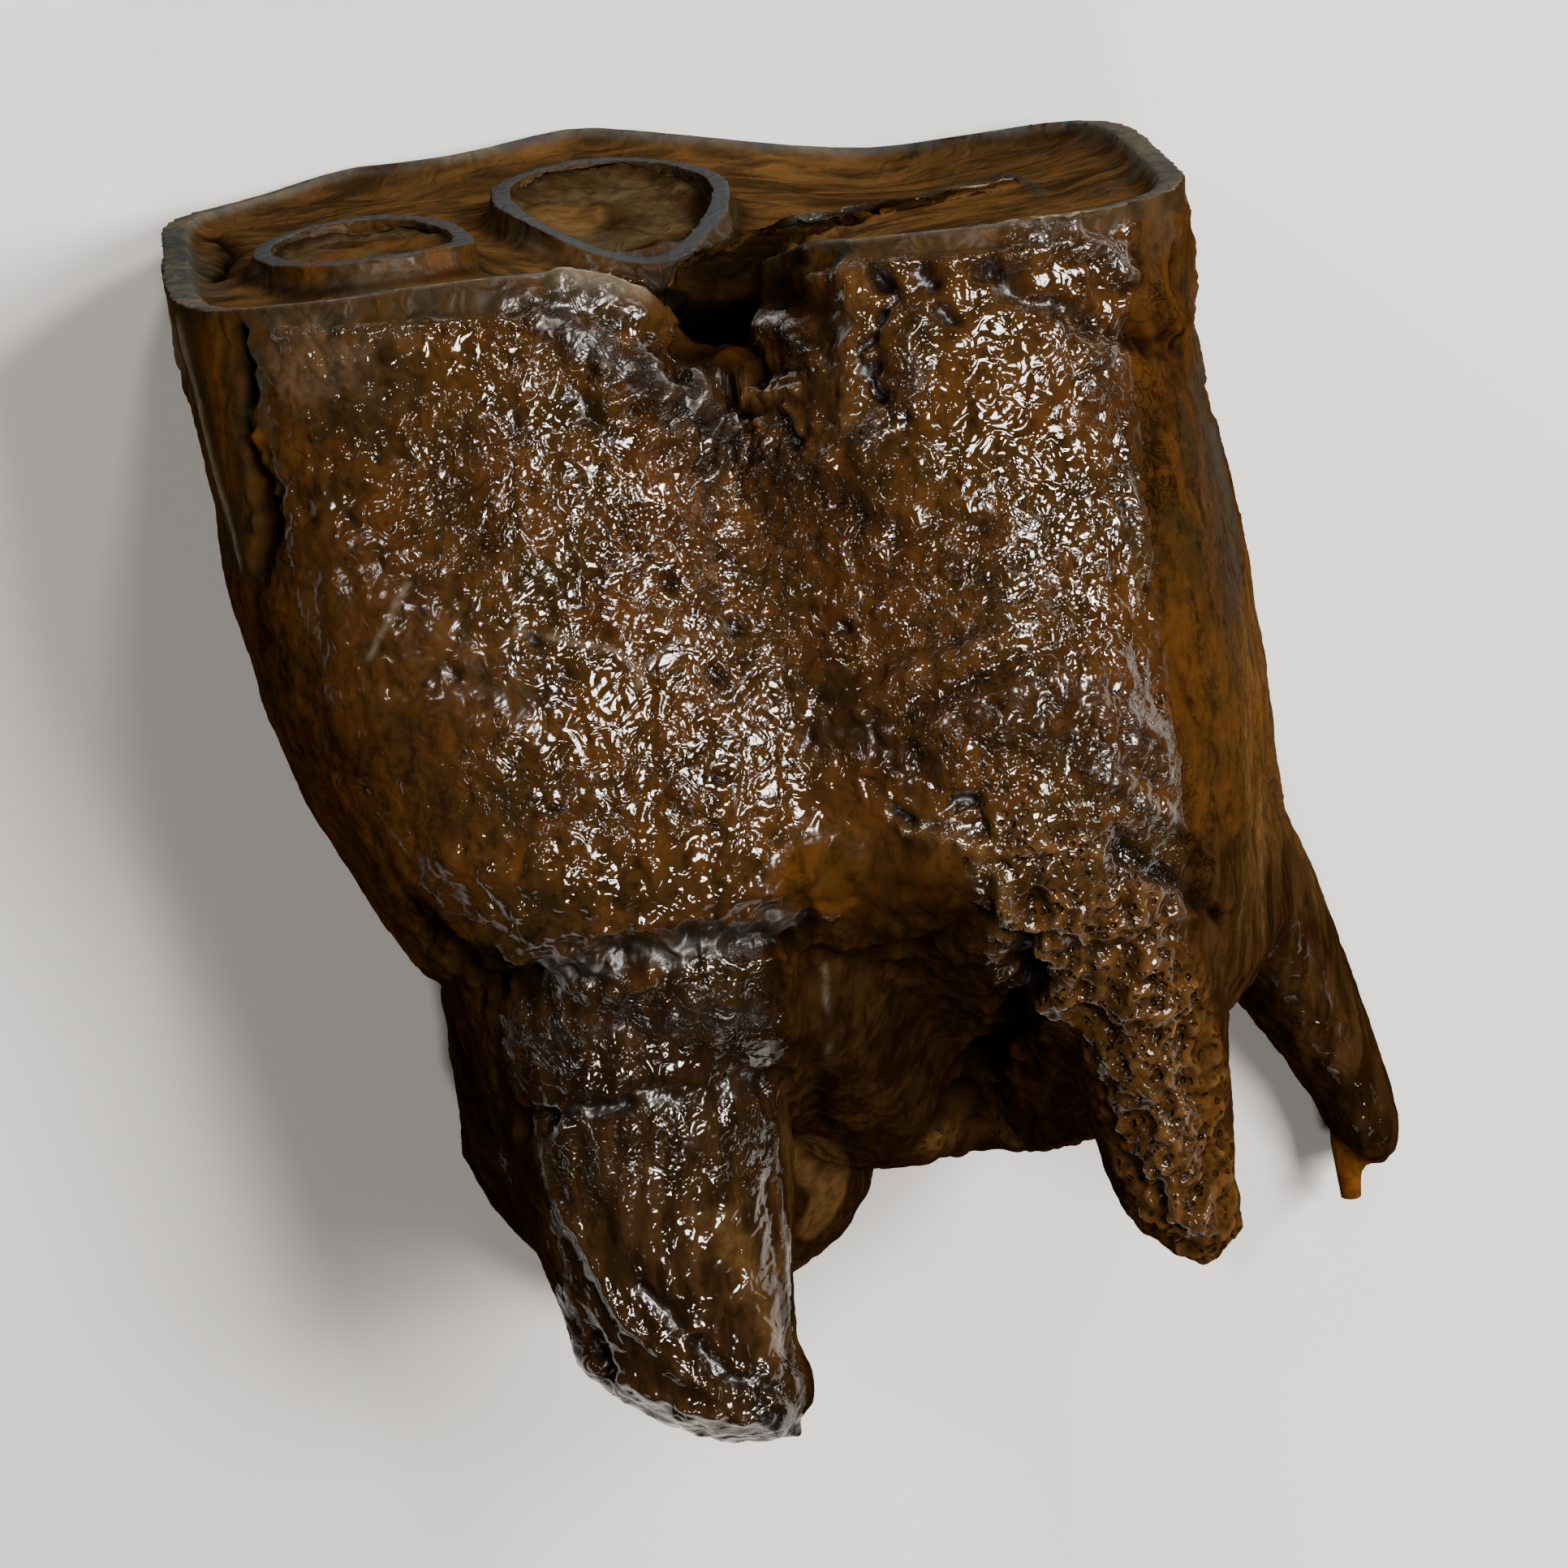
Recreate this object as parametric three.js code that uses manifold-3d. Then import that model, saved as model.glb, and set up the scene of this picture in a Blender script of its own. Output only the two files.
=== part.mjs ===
// Fossil upper cheek tooth of a woolly rhinoceros, life size, lying on its outer wall.
//
// Millimetres. +X is towards the front of the jaw (mesial), +Y along the crown to the chewing face
// (occlusal), and +Z towards the palate (lingual), which is up while the tooth lies down. The model
// is drawn with y = 0 at the palate side's worn rim and z = 0 at the ground, and the group then
// moves it so that the origin is at the bottom centre of the whole tooth.
//
// The crown and the root trunk are one loft around the tooth's axis. Four tapering roots join it.
// Thin cuts part the whole into the lobes and roots that are named on a tooth, and bands of enamel
// stand proud of the worn dentine round the crown and round its two enamel pits (fossettes).

import * as THREE from "three";
import { LoftGeometry } from "three/addons/geometries/LoftGeometry.js";
import { mergeVertices } from "three/addons/utils/BufferGeometryUtils.js";
import Module from "manifold-3d";

const wasm = await Module();
wasm.setup();

// ---- Driving dimensions ----

const cutGap = 0.3; // clearance between neighbouring pieces
const originShift = { x: -1, y: 25.71 }; // from the drawing's zero to the bottom centre

// The outline at these levels down the axis: the x of its four corners, and the z of its palate
// and cheek faces.
const levels = [0, -8, -20, -30, -38, -47];
const outlineTracks = {
  distoLingualX: [-27.2, -26.0, -24.2, -20.0, -16.0, -14.4],
  mesioLingualX: [23.2, 21.4, 21.6, 21.3, 20.4, 19.6],
  mesioBuccalX: [21.6, 24.3, 26.9, 27.1, 27.6, 28.2],
  distoBuccalX: [-30.4, -29.4, -27.0, -23.4, -20.2, -19.0],
  lingualZ: [45.6, 46.8, 48.8, 48.9, 47.0, 45.0],
  buccalZ: [1.8, 1.4, 1.3, 2.0, 3.2, 4.6],
};
const outlineSquareness = 6; // superellipse power: higher is squarer
const pointsAround = 84;
const neckLevel = -35; // the crown ends and the roots begin
const trunkEnd = -47; // the roots are fused down to here
const trunkWaist = { from: -31, share: 0.42, leanX: 4 }; // below the neck the trunk rounds off

// The cheek wall's upright ribs (positive) and folds (negative): where across the wall, from -1 at
// the back to 1 at the front, with their height and half-width.
const cheekRibs = [
  { across: 0.52, height: 2.4, spread: 0.13 }, // paracone rib
  { across: 0.8, height: -1.3, spread: 0.07 }, // fold behind the parastyle
  { across: -0.12, height: 2.1, spread: 0.12 }, // mesostyle
  { across: -0.64, height: 2.3, spread: 0.14 }, // metacone rib
];
const ribFadeLength = 60; // the ribs sink into the wall towards the roots

// The palate wall: two swollen lobes with the groove below the central valley between them, and
// lower down the recess between the two palate roots.
const lobeSwell = { across: 0.52, height: 1.1, spread: 0.3 };
const valleyGroove = { across: 0.08, depth: 7.2, spread: 0.13, fade: 7.5 };
const rootRecess = { across: 0.17, depth: 7, spread: 0.26, from: -30, to: -42 };

// The worn chewing face: it rises from the palate rim to the cheek wall, with two cusps and a
// saddle along that wall, and sinks in the middle, at the valley's mouth and at the back corner.
const faceWidth = 46;
const cheekRise = 5;
const riseFade = 22; // how far down the wall the rise still tilts the levels
const cusps = [
  { x: -8, height: 1.9, spread: 9 },
  { x: -20, height: 0.7, spread: 5 },
  { x: 9, height: -0.9, spread: 6 }, // the saddle
];
const riseBulge = 0.85; // below 1, the rise starts off steeper from the palate rim
const dips = [
  { x: -3, z: 29.5, depth: 4.2, spreadX: 7.5, spreadZ: 8 }, // the basin in the middle
  { x: -1.4, z: 50, depth: 6.2, spreadX: 2.9, spreadZ: 13 }, // the notch where the valley opens
  { x: -29, z: 46, depth: 1, spreadX: 9, spreadZ: 12 }, // the back corner on the palate side
];
const dentineBelowEnamel = 0.5;
const dentineBasin = 0.7; // further sag of the dentine away from the enamel

// Enamel
const enamelBand = { thickness: 1.4, height: 3.6 };
const fossetteWall = 1.2;
const medifossette = { x: -5.7, z: 19.6, halfLength: 6.3, halfWidth: 7.4, turn: 0.1 };
const postfossette = { x: -18.2, z: 30, halfLength: 5.6, halfWidth: 7.8, turn: -0.2 };
const fossetteDepth = 2.6; // they are filled up to here with old cement
const fossetteFootGap = 0.6; // from the floor to the foot of the enamel
const pointsPerFossette = 40;

// The central valley (medisinus): its way across the chewing face, from the palate side to its end
// behind the front lobe, and its width at each point.
const valley = [
  { x: -1.5, z: 50, width: 6.5 },
  { x: -1.0, z: 41, width: 5 },
  { x: 0.6, z: 32, width: 4.2 },
  { x: 3.6, z: 24.5, width: 3.2 },
  { x: 9, z: 20, width: 2.4 },
  { x: 15.5, z: 18.6, width: 1.6 },
];
const valleyFloor = -7;
const valleySteps = 18;

// The cut between the back and front lobes runs along the valley, from the palate to the cheek.
const lobeCut = { from: { x: -1.4, z: 46 }, to: { x: 5.5, z: 12 } };
const cheekCutZ = 11; // parts the cheek wall from the two lobes
const rootCut = { x: 6, z: 26 }; // parts the four roots

// Each root tapers evenly from the neck to its end, and from there rounds off to the tip, which may
// lean to one side.
const rootStart = { y: -27, share: 0.55 }; // inside the crown, so that the root swells out of it
const roots = {
  distolingual: {
    neck: { x: -9.2, z: 39.8, halfWidth: 8.5, halfDepth: 7.6 },
    end: { x: -7.6, y: -53.6, z: 41, halfWidth: 5.4, halfDepth: 4.6 },
    tip: { x: -4.6, y: -58.3, z: 41.5 },
  },
  mesiolingual: {
    neck: { x: 15.8, z: 40.4, halfWidth: 4.9, halfDepth: 7 },
    end: { x: 17.1, y: -47.8, z: 39.5, halfWidth: 3, halfDepth: 4 },
    tip: { x: 18.3, y: -52.2, z: 39.5 },
  },
  distobuccal: {
    neck: { x: -10.8, z: 9.6, halfWidth: 8.6, halfDepth: 8.6 },
    end: { x: -11.1, y: -47.6, z: 6.2, halfWidth: 8.3, halfDepth: 6.6 },
    tip: { x: -8.4, y: -57.6, z: 7.5 },
  },
  mesiobuccal: {
    neck: { x: 22.8, z: 8.8, halfWidth: 4.5, halfDepth: 7.6 },
    end: { x: 29.1, y: -49.6, z: 4.3, halfWidth: 2.3, halfDepth: 4.6 },
    tip: { x: 30.0, y: -53.6, z: 5.2 },
  },
};
// The wall of dentine that joins the two roots at the back.
const distalWeb = {
  neck: { x: -5, z: 25, halfWidth: 9.5, halfDepth: 11 },
  end: { x: -5.6, y: -46.5, z: 23, halfWidth: 8.4, halfDepth: 10 },
  tip: { x: -5.2, y: -54, z: 22 },
};
const tipRoundness = 0.6;
const straightRings = 8;
const tipRings = 5;
const pointsPerRoot = 26;
const splinter = { x: 28.4, y: -53.2, z: 5.2, radius: 0.85, length: 4.2 }; // on the mesiobuccal root

// ---- Shape functions ----

const bell = (distance, spread) => Math.exp(-((distance / spread) ** 2));
const smoothBetween = (value, start, end) =>
  THREE.MathUtils.smoothstep((value - start) / (end - start), 0, 1);

const deepestFirst = [...levels].reverse();
const outlineCurves = Object.entries(outlineTracks).map(([name, values]) => [
  name,
  new THREE.CubicInterpolant(deepestFirst, [...values].reverse(), 1),
]);

function outlineAt(level) {
  const clamped = THREE.MathUtils.clamp(level, trunkEnd, 0);
  return Object.fromEntries(outlineCurves.map(([name, curve]) => [name, curve.evaluate(clamped)[0]]));
}

// How far the worn face stands above the palate rim's level at a place across the tooth.
function wornHeight(x, z) {
  const rise = cusps.reduce((sum, cusp) => sum + cusp.height * bell(x - cusp.x, cusp.spread), cheekRise);
  const towardsCheek = THREE.MathUtils.clamp(1 - z / faceWidth, 0, 1) ** riseBulge;
  return dips.reduce(
    (height, dip) => height - dip.depth * bell(x - dip.x, dip.spreadX) * bell(z - dip.z, dip.spreadZ),
    rise * towardsCheek,
  );
}

const tilted = (x, z, level) => level + wornHeight(x, z) * Math.max(0, 1 + level / riseFade);

// A point on the outer wall: turn goes once round the tooth, and level down its axis.
function wallPoint(turn, level) {
  const cos = Math.cos(turn);
  const sin = Math.sin(turn);
  const power = outlineSquareness;
  const reach = (Math.abs(cos) ** power + Math.abs(sin) ** power) ** (-1 / power);
  const across = cos * reach; // -1 at the back, 1 at the front
  const up = -sin * reach; // -1 at the cheek, 1 at the palate
  const o = outlineAt(level);
  const frontward = (across + 1) / 2;
  const palateward = (up + 1) / 2;
  const cheekX = THREE.MathUtils.lerp(o.distoBuccalX, o.mesioBuccalX, frontward);
  const palateX = THREE.MathUtils.lerp(o.distoLingualX, o.mesioLingualX, frontward);
  const x = THREE.MathUtils.lerp(cheekX, palateX, palateward);
  let z = THREE.MathUtils.lerp(o.buccalZ, o.lingualZ, palateward);

  const onCheek = Math.max(0, -up) ** 6;
  const ribFade = Math.max(0, 1 + level / ribFadeLength);
  for (const rib of cheekRibs) {
    z -= onCheek * ribFade * rib.height * bell(across - rib.across, rib.spread);
  }
  const onPalate = Math.max(0, up) ** 6;
  for (const side of [-1, 1]) {
    z += onPalate * lobeSwell.height * bell(across - side * lobeSwell.across, lobeSwell.spread);
  }
  const grooveDepth = 0.6 + valleyGroove.depth * Math.exp(level / valleyGroove.fade);
  z -= onPalate * grooveDepth * bell(across - valleyGroove.across, valleyGroove.spread);
  const recessDepth = rootRecess.depth * smoothBetween(level, rootRecess.from, rootRecess.to);
  z -= onPalate * recessDepth * bell(across - rootRecess.across, rootRecess.spread);
  return new THREE.Vector3(x, tilted(x, z, level), z);
}

const turns = Array.from({ length: pointsAround }, (_, i) => (i / pointsAround) * 2 * Math.PI);

// Below its waist the trunk draws in towards a middle that leans to the front of the jaw.
function wallRing(level) {
  const depth = smoothBetween(level, trunkWaist.from, trunkEnd);
  const share = 1 - (1 - trunkWaist.share) * depth ** 2.5;
  const ring = turns.map((turn) => wallPoint(turn, level));
  if (depth === 0) return ring;
  const drawnIn = shrunkRing(ring, share, () => level);
  return drawnIn.map((point) => point.add(new THREE.Vector3(trunkWaist.leanX * depth, 0, 0)));
}

// The ring moved inwards, square to its own outline, by inset.
function insetRing(ring, inset) {
  return ring.map((point, i) => {
    const next = ring[(i + 1) % ring.length];
    const last = ring[(i + ring.length - 1) % ring.length];
    const along = new THREE.Vector2(next.x - last.x, next.z - last.z).normalize();
    return new THREE.Vector3(point.x + along.y * inset, point.y, point.z - along.x * inset);
  });
}

// The ring drawn in towards its own middle.
function shrunkRing(ring, share, heightAt) {
  const middle = ring.reduce((sum, p) => sum.add(p), new THREE.Vector3()).divideScalar(ring.length);
  return ring.map((point) => {
    const p = middle.clone().lerp(point, share);
    return new THREE.Vector3(p.x, heightAt(p.x, p.z), p.z);
  });
}

// ---- Solids ----

function solidOf(geometry) {
  const bare = new THREE.BufferGeometry();
  bare.setAttribute("position", geometry.attributes.position);
  bare.setIndex(geometry.index);
  const merged = mergeVertices(bare, 1e-4);
  const corners = merged.index.array;
  const kept = [];
  for (let i = 0; i < corners.length; i += 3) {
    const [a, b, c] = corners.slice(i, i + 3);
    if (a !== b && b !== c && c !== a) kept.push(a, b, c);
  }
  return new wasm.Manifold(
    new wasm.Mesh({
      numProp: 3,
      vertProperties: new Float32Array(merged.attributes.position.array),
      triVerts: new Uint32Array(kept),
    }),
  );
}

function geometryOf(solid) {
  const mesh = solid.getMesh();
  const places = new Float32Array(mesh.numVert * 3);
  for (let i = 0; i < mesh.numVert; i++) {
    places.set(mesh.vertProperties.subarray(i * mesh.numProp, i * mesh.numProp + 3), i * 3);
  }
  const geometry = new THREE.BufferGeometry();
  geometry.setAttribute("position", new THREE.BufferAttribute(places, 3));
  geometry.setIndex(new THREE.BufferAttribute(new Uint32Array(mesh.triVerts), 1));
  geometry.computeVertexNormals();
  return geometry;
}

// The crown's dentine and the root trunk: up the wall, in under the enamel band, and over the face.
function crownAndTrunk() {
  const bandFoot = -enamelBand.height - cutGap;
  const wallLevels = [-46.3, -45, -43, -40.5, -38, -34, -30, -25, -20, -15, -10, -6.5, bandFoot];
  const deepest = wallRing(trunkEnd);
  const underside = [0, 0.45, 0.85].map((share) => shrunkRing(deepest, share, () => trunkEnd));
  const bandInset = enamelBand.thickness + cutGap;
  const shoulder = insetRing(wallRing(bandFoot), bandInset);
  const faceEdge = insetRing(wallRing(-dentineBelowEnamel), bandInset);
  const face = [0.93, 0.84, 0.74, 0.63, 0.52, 0.41, 0.3, 0.19, 0.09, 0].map((share) =>
    shrunkRing(
      faceEdge,
      share,
      (x, z) => wornHeight(x, z) - dentineBelowEnamel - dentineBasin * smoothBetween(share, 1, 0.8),
    ),
  );
  const rings = [...underside, ...wallLevels.map(wallRing), shoulder, faceEdge, ...face];
  return solidOf(new LoftGeometry(rings));
}

// A closed wall round a ring: up its outside, over its top and down its inside.
function bandSolid(outside, inside) {
  const rings = [...outside, ...inside.reverse(), outside[0]];
  return solidOf(new LoftGeometry(rings));
}

function crownEnamel() {
  const bandLevels = [-enamelBand.height, -3, 0];
  const outside = bandLevels.map(wallRing);
  const inside = outside.map((ring) => insetRing(ring, enamelBand.thickness));
  return bandSolid(outside, inside);
}

function fossetteRing({ x, z, halfLength, halfWidth, turn }, inset, heightAt) {
  return Array.from({ length: pointsPerFossette }, (_, i) => {
    const angle = (-i / pointsPerFossette) * 2 * Math.PI;
    const along = (halfLength - inset) * Math.cos(angle);
    const across = (halfWidth - inset) * Math.sin(angle);
    const px = x + along * Math.cos(turn) - across * Math.sin(turn);
    const pz = z + along * Math.sin(turn) + across * Math.cos(turn);
    return new THREE.Vector3(px, heightAt(px, pz), pz);
  });
}

function fossetteEnamel(fossette) {
  const foot = (x, z) => wornHeight(x, z) - fossetteDepth + fossetteFootGap;
  const heights = [foot, wornHeight];
  const outside = heights.map((heightAt) => fossetteRing(fossette, 0, heightAt));
  const inside = heights.map((heightAt) => fossetteRing(fossette, fossetteWall, heightAt));
  return bandSolid(outside, inside);
}

// The pocket that an enamel pit and its wall stand in.
function fossettePocket(fossette) {
  const heights = [(x, z) => wornHeight(x, z) - fossetteDepth, () => 2 * cheekRise];
  const rings = heights.map((heightAt) => fossetteRing(fossette, -cutGap, heightAt));
  return solidOf(new LoftGeometry(rings, { capStart: true, capEnd: true }));
}

function valleyCutter() {
  const middle = new THREE.CatmullRomCurve3(valley.map(({ x, z }) => new THREE.Vector3(x, 0, z)));
  const widths = new THREE.CatmullRomCurve3(valley.map(({ width }, i) => new THREE.Vector3(i, width, 0)));
  const sides = [[], []];
  for (let i = 0; i <= valleySteps; i++) {
    const share = i / valleySteps;
    const point = middle.getPoint(share);
    const ahead = middle.getTangent(share);
    const half = widths.getPoint(share).y / 2;
    // A Shape is drawn in x and y, so z goes in as -y and the extrusion is turned upright.
    sides[0].push(new THREE.Vector2(point.x - ahead.z * half, -(point.z + ahead.x * half)));
    sides[1].unshift(new THREE.Vector2(point.x + ahead.z * half, -(point.z - ahead.x * half)));
  }
  const plan = new THREE.Shape([...sides[0], ...sides[1]]);
  const geometry = new THREE.ExtrudeGeometry(plan, { depth: 20, bevelEnabled: false });
  geometry.rotateX(-Math.PI / 2);
  geometry.translate(0, valleyFloor, 0);
  return solidOf(geometry);
}

function rootSolid({ neck, end, tip }) {
  const stations = [];
  const startShare = (rootStart.y - neckLevel) / (end.y - neckLevel);
  for (let i = 0; i < straightRings; i++) {
    const share = THREE.MathUtils.lerp(startShare, 1, i / (straightRings - 1));
    const swell = THREE.MathUtils.lerp(rootStart.share, 1, smoothBetween(share, startShare, 0));
    stations.push({
      y: THREE.MathUtils.lerp(neckLevel, end.y, share),
      x: THREE.MathUtils.lerp(neck.x, end.x, share),
      z: THREE.MathUtils.lerp(neck.z, end.z, share),
      halfWidth: THREE.MathUtils.lerp(neck.halfWidth, end.halfWidth, share) * swell,
      halfDepth: THREE.MathUtils.lerp(neck.halfDepth, end.halfDepth, share) * swell,
    });
  }
  for (let i = 1; i <= tipRings; i++) {
    const share = Math.sin(((i / tipRings) * Math.PI) / 2);
    const size = (1 - share ** 2) ** tipRoundness;
    stations.push({
      y: THREE.MathUtils.lerp(end.y, tip.y, share),
      x: THREE.MathUtils.lerp(end.x, tip.x, share),
      z: THREE.MathUtils.lerp(end.z, tip.z, share),
      halfWidth: end.halfWidth * size,
      halfDepth: end.halfDepth * size,
    });
  }
  const rings = stations.map(({ x, y, z, halfWidth, halfDepth }) =>
    Array.from({ length: pointsPerRoot }, (_, j) => {
      const angle = (j / pointsPerRoot) * 2 * Math.PI;
      return new THREE.Vector3(x + halfWidth * Math.cos(angle), y, z + halfDepth * Math.sin(angle));
    }),
  );
  return solidOf(new LoftGeometry(rings, { capStart: true }));
}

function splinterSolid() {
  const cone = new THREE.ConeGeometry(splinter.radius, splinter.length, 8);
  cone.rotateZ(Math.PI);
  cone.translate(splinter.x, splinter.y, splinter.z);
  return solidOf(cone);
}

// ---- Parting ----

const keepSide = (solid, normal, distance) => solid.trimByPlane(normal, distance + cutGap / 2);
const above = (solid, axis, at) => keepSide(solid, axis, at);
const below = (solid, axis, at) => keepSide(solid, axis.map((n) => -n), -at);
const onGround = (solid) => solid.trimByPlane([0, 0, 1], 0);
const alongY = [0, 1, 0];
const alongX = [1, 0, 0];
const alongZ = [0, 0, 1];

function lobePlane() {
  const run = new THREE.Vector2(lobeCut.to.x - lobeCut.from.x, lobeCut.to.z - lobeCut.from.z).normalize();
  const normal = [-run.y, 0, run.x]; // points to the front of the jaw
  return { normal, distance: normal[0] * lobeCut.from.x + normal[2] * lobeCut.from.z };
}

function toothSolids() {
  const rootShapes = [...Object.values(roots), distalWeb];
  const whole = rootShapes.reduce((sum, root) => sum.add(rootSolid(root)), crownAndTrunk());
  const dug = [valleyCutter(), fossettePocket(medifossette), fossettePocket(postfossette)]
    .reduce((rest, cutter) => rest.subtract(cutter), whole);
  const crown = above(dug, alongY, neckLevel);
  const lobes = above(crown, alongZ, cheekCutZ);
  const cut = lobePlane();
  const rootBlock = below(whole.add(splinterSolid()), alongY, neckLevel);
  const back = below(rootBlock, alongX, rootCut.x);
  const front = above(rootBlock, alongX, rootCut.x);
  return {
    ectoloph: { solid: below(crown, alongZ, cheekCutZ), tissue: "dentine" },
    metaloph: { solid: below(lobes, cut.normal, cut.distance), tissue: "dentine" },
    protoloph: { solid: above(lobes, cut.normal, cut.distance), tissue: "dentine" },
    enamel_band: { solid: crownEnamel().subtract(valleyCutter()), tissue: "enamel" },
    enamel_medifossette: { solid: fossetteEnamel(medifossette), tissue: "enamel" },
    enamel_postfossette: { solid: fossetteEnamel(postfossette), tissue: "enamel" },
    root_distolingual: { solid: above(back, alongZ, rootCut.z), tissue: "root" },
    root_distobuccal: { solid: below(back, alongZ, rootCut.z), tissue: "root" },
    root_mesiolingual: { solid: above(front, alongZ, rootCut.z), tissue: "root" },
    root_mesiobuccal: { solid: below(front, alongZ, rootCut.z), tissue: "root" },
  };
}

// ---- Finish ----

const tissues = {
  dentine: new THREE.MeshStandardMaterial({ color: 0x5c4024, roughness: 0.45, metalness: 0 }),
  enamel: new THREE.MeshStandardMaterial({ color: 0x7d7465, roughness: 0.3, metalness: 0 }),
  root: new THREE.MeshStandardMaterial({ color: 0x54402c, roughness: 0.55, metalness: 0 }),
};

const tooth = new THREE.Group();
for (const [name, { solid, tissue }] of Object.entries(toothSolids())) {
  const mesh = new THREE.Mesh(geometryOf(onGround(solid)), tissues[tissue]);
  mesh.name = name;
  tooth.add(mesh);
}
tooth.position.set(originShift.x, originShift.y, 0);

export default tooth;
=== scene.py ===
import itertools
import math
import time

import bpy
import numpy as np
from mathutils import Matrix, Vector
from mathutils.bvhtree import BVHTree


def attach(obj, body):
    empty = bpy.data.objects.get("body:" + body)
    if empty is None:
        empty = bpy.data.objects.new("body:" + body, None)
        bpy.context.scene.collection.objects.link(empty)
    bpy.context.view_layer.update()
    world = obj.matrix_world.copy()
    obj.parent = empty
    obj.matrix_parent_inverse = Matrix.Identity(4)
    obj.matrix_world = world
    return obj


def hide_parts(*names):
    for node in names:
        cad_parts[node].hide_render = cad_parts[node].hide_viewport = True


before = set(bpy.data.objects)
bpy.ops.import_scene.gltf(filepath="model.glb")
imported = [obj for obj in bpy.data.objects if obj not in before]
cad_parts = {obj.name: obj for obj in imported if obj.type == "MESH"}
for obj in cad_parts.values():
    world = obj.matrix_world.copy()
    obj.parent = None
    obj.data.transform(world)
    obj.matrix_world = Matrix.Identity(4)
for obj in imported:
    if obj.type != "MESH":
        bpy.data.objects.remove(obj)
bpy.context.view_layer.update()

mm = 0.001
startTime = time.time()


def tell(words):
    print(f"[{time.time() - startTime:5.1f} s] {words}", flush=True)


# Lengths below are in millimetres from the tooth's own zero: x to the front of the jaw, y up the
# crown from the palate side's worn rim, z up from the ground.
toothZero = np.array([-1.0, 25.71, 0.0])


# camera, floor and lights

shot = {
    "target": (-1.0, 0.0, 46.0),  # mm, on the palate side
    "distance": 320.0,
    "towardsCrown": 5.37,  # degrees off straight down
    "roll": 6.0,
    "lens": 152.9,
}


def addCamera(values):
    tilt = math.radians(values["towardsCrown"])
    roll = math.radians(values["roll"])
    across = np.array([1.0, 0.0, 0.0])
    upward = np.array([0.0, math.cos(tilt), -math.sin(tilt)])
    right = across * math.cos(roll) - upward * math.sin(roll)
    top = across * math.sin(roll) + upward * math.cos(roll)
    back = np.cross(right, top)
    place = (np.array(values["target"]) + back * values["distance"]) * mm
    bpy.ops.object.camera_add()
    camera = bpy.context.object
    camera.name = "photoCamera"
    camera.data.sensor_width = 36
    camera.data.lens = values["lens"]
    camera.data.clip_start = 0.01
    camera.matrix_world = Matrix([
        (right[0], top[0], back[0], place[0]),
        (right[1], top[1], back[1], place[1]),
        (right[2], top[2], back[2], place[2]),
        (0, 0, 0, 1),
    ])
    bpy.context.scene.camera = camera


studioLights = {
    "key": {"at": (0.40, 0.05, 0.86), "size": (0.22, 0.28), "watts": 14.0, "tint": (1.0, 0.955, 0.90)},
    "broad": {"at": (-0.45, 0.40, 0.75), "size": (0.07, 0.07), "watts": 1.2, "tint": (1.0, 0.97, 0.93)},
    "crown": {"at": (0.16, 0.50, 0.84), "size": (0.08, 0.08), "watts": 2.8, "tint": (1.0, 0.96, 0.91)},
    "low": {"at": (0.08, -0.50, 0.80), "size": (0.08, 0.08), "watts": 2.6, "tint": (1.0, 0.95, 0.89)},
    "notch": {"at": (0.62, 0.40, 0.55), "size": (0.12, 0.12), "watts": 8.0, "tint": (1.0, 0.96, 0.91)},
}

studioRoom = {"aim": (0, 0, 0.02), "tint": (1.0, 0.95, 0.88), "strength": 0.04}


def addLights(lights, room):
    for name, values in lights.items():
        bpy.ops.object.light_add(type="AREA", location=values["at"])
        light = bpy.context.object
        light.name = name + "Light"
        light.data.shape = "RECTANGLE"
        light.data.size, light.data.size_y = values["size"]
        light.data.energy = values["watts"]
        light.data.color = values["tint"]
        towardsAim = Vector(room["aim"]) - Vector(values["at"])
        light.rotation_euler = towardsAim.to_track_quat("-Z", "Y").to_euler()
    world = bpy.data.worlds.new("studioRoom")
    world.use_nodes = True
    background = world.node_tree.nodes["Background"]
    background.inputs["Color"].default_value = (*room["tint"], 1)
    background.inputs["Strength"].default_value = room["strength"]
    bpy.context.scene.world = world


def deselectAll():
    bpy.ops.object.select_all(action="DESELECT")


def pick(thing):
    deselectAll()
    thing.select_set(True)
    bpy.context.view_layer.objects.active = thing


tableTop = {"size": 3.0, "tint": (0.70, 0.69, 0.67), "roughness": 0.65}  # size in metres


def addFloor(values):
    deselectAll()
    bpy.ops.mesh.primitive_plane_add(size=values["size"], location=(0, 0, 0))
    floor = bpy.context.object
    floor.name = "paleFloor"
    skin = bpy.data.materials.new("paleTable")
    skin.use_nodes = True
    shader = skin.node_tree.nodes["Principled BSDF"]
    shader.inputs["Base Color"].default_value = (*values["tint"], 1)
    shader.inputs["Roughness"].default_value = values["roughness"]
    floor.data.materials.append(skin)


addCamera(shot)
addLights(studioLights, studioRoom)
addFloor(tableTop)
tell("camera, lights and floor")


# the whole tooth as one block to carve

block = {
    "voxel": 0.22,  # mm
    "overlap": 0.22,  # mm, closes the thin cuts between the lobes and roots
    "smoothing": 10,  # passes
    "softness": 0.5,
    "weld": 0.00001,  # metres
    # a sliver of bone on the hidden root's tip, made stout enough to come through the smoothing
    "splinter": {"at": (28.4, -53.2, 5.4), "radius": 1.2, "tip": 0.8, "length": 4.8},
}


def applyModifier(thing, kind, **values):
    pick(thing)
    bpy.ops.object.modifier_add(type=kind)
    modifier = thing.modifiers[-1]
    for name, value in values.items():
        setattr(modifier, name, value)
    bpy.ops.object.modifier_apply(modifier=modifier.name)


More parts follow.
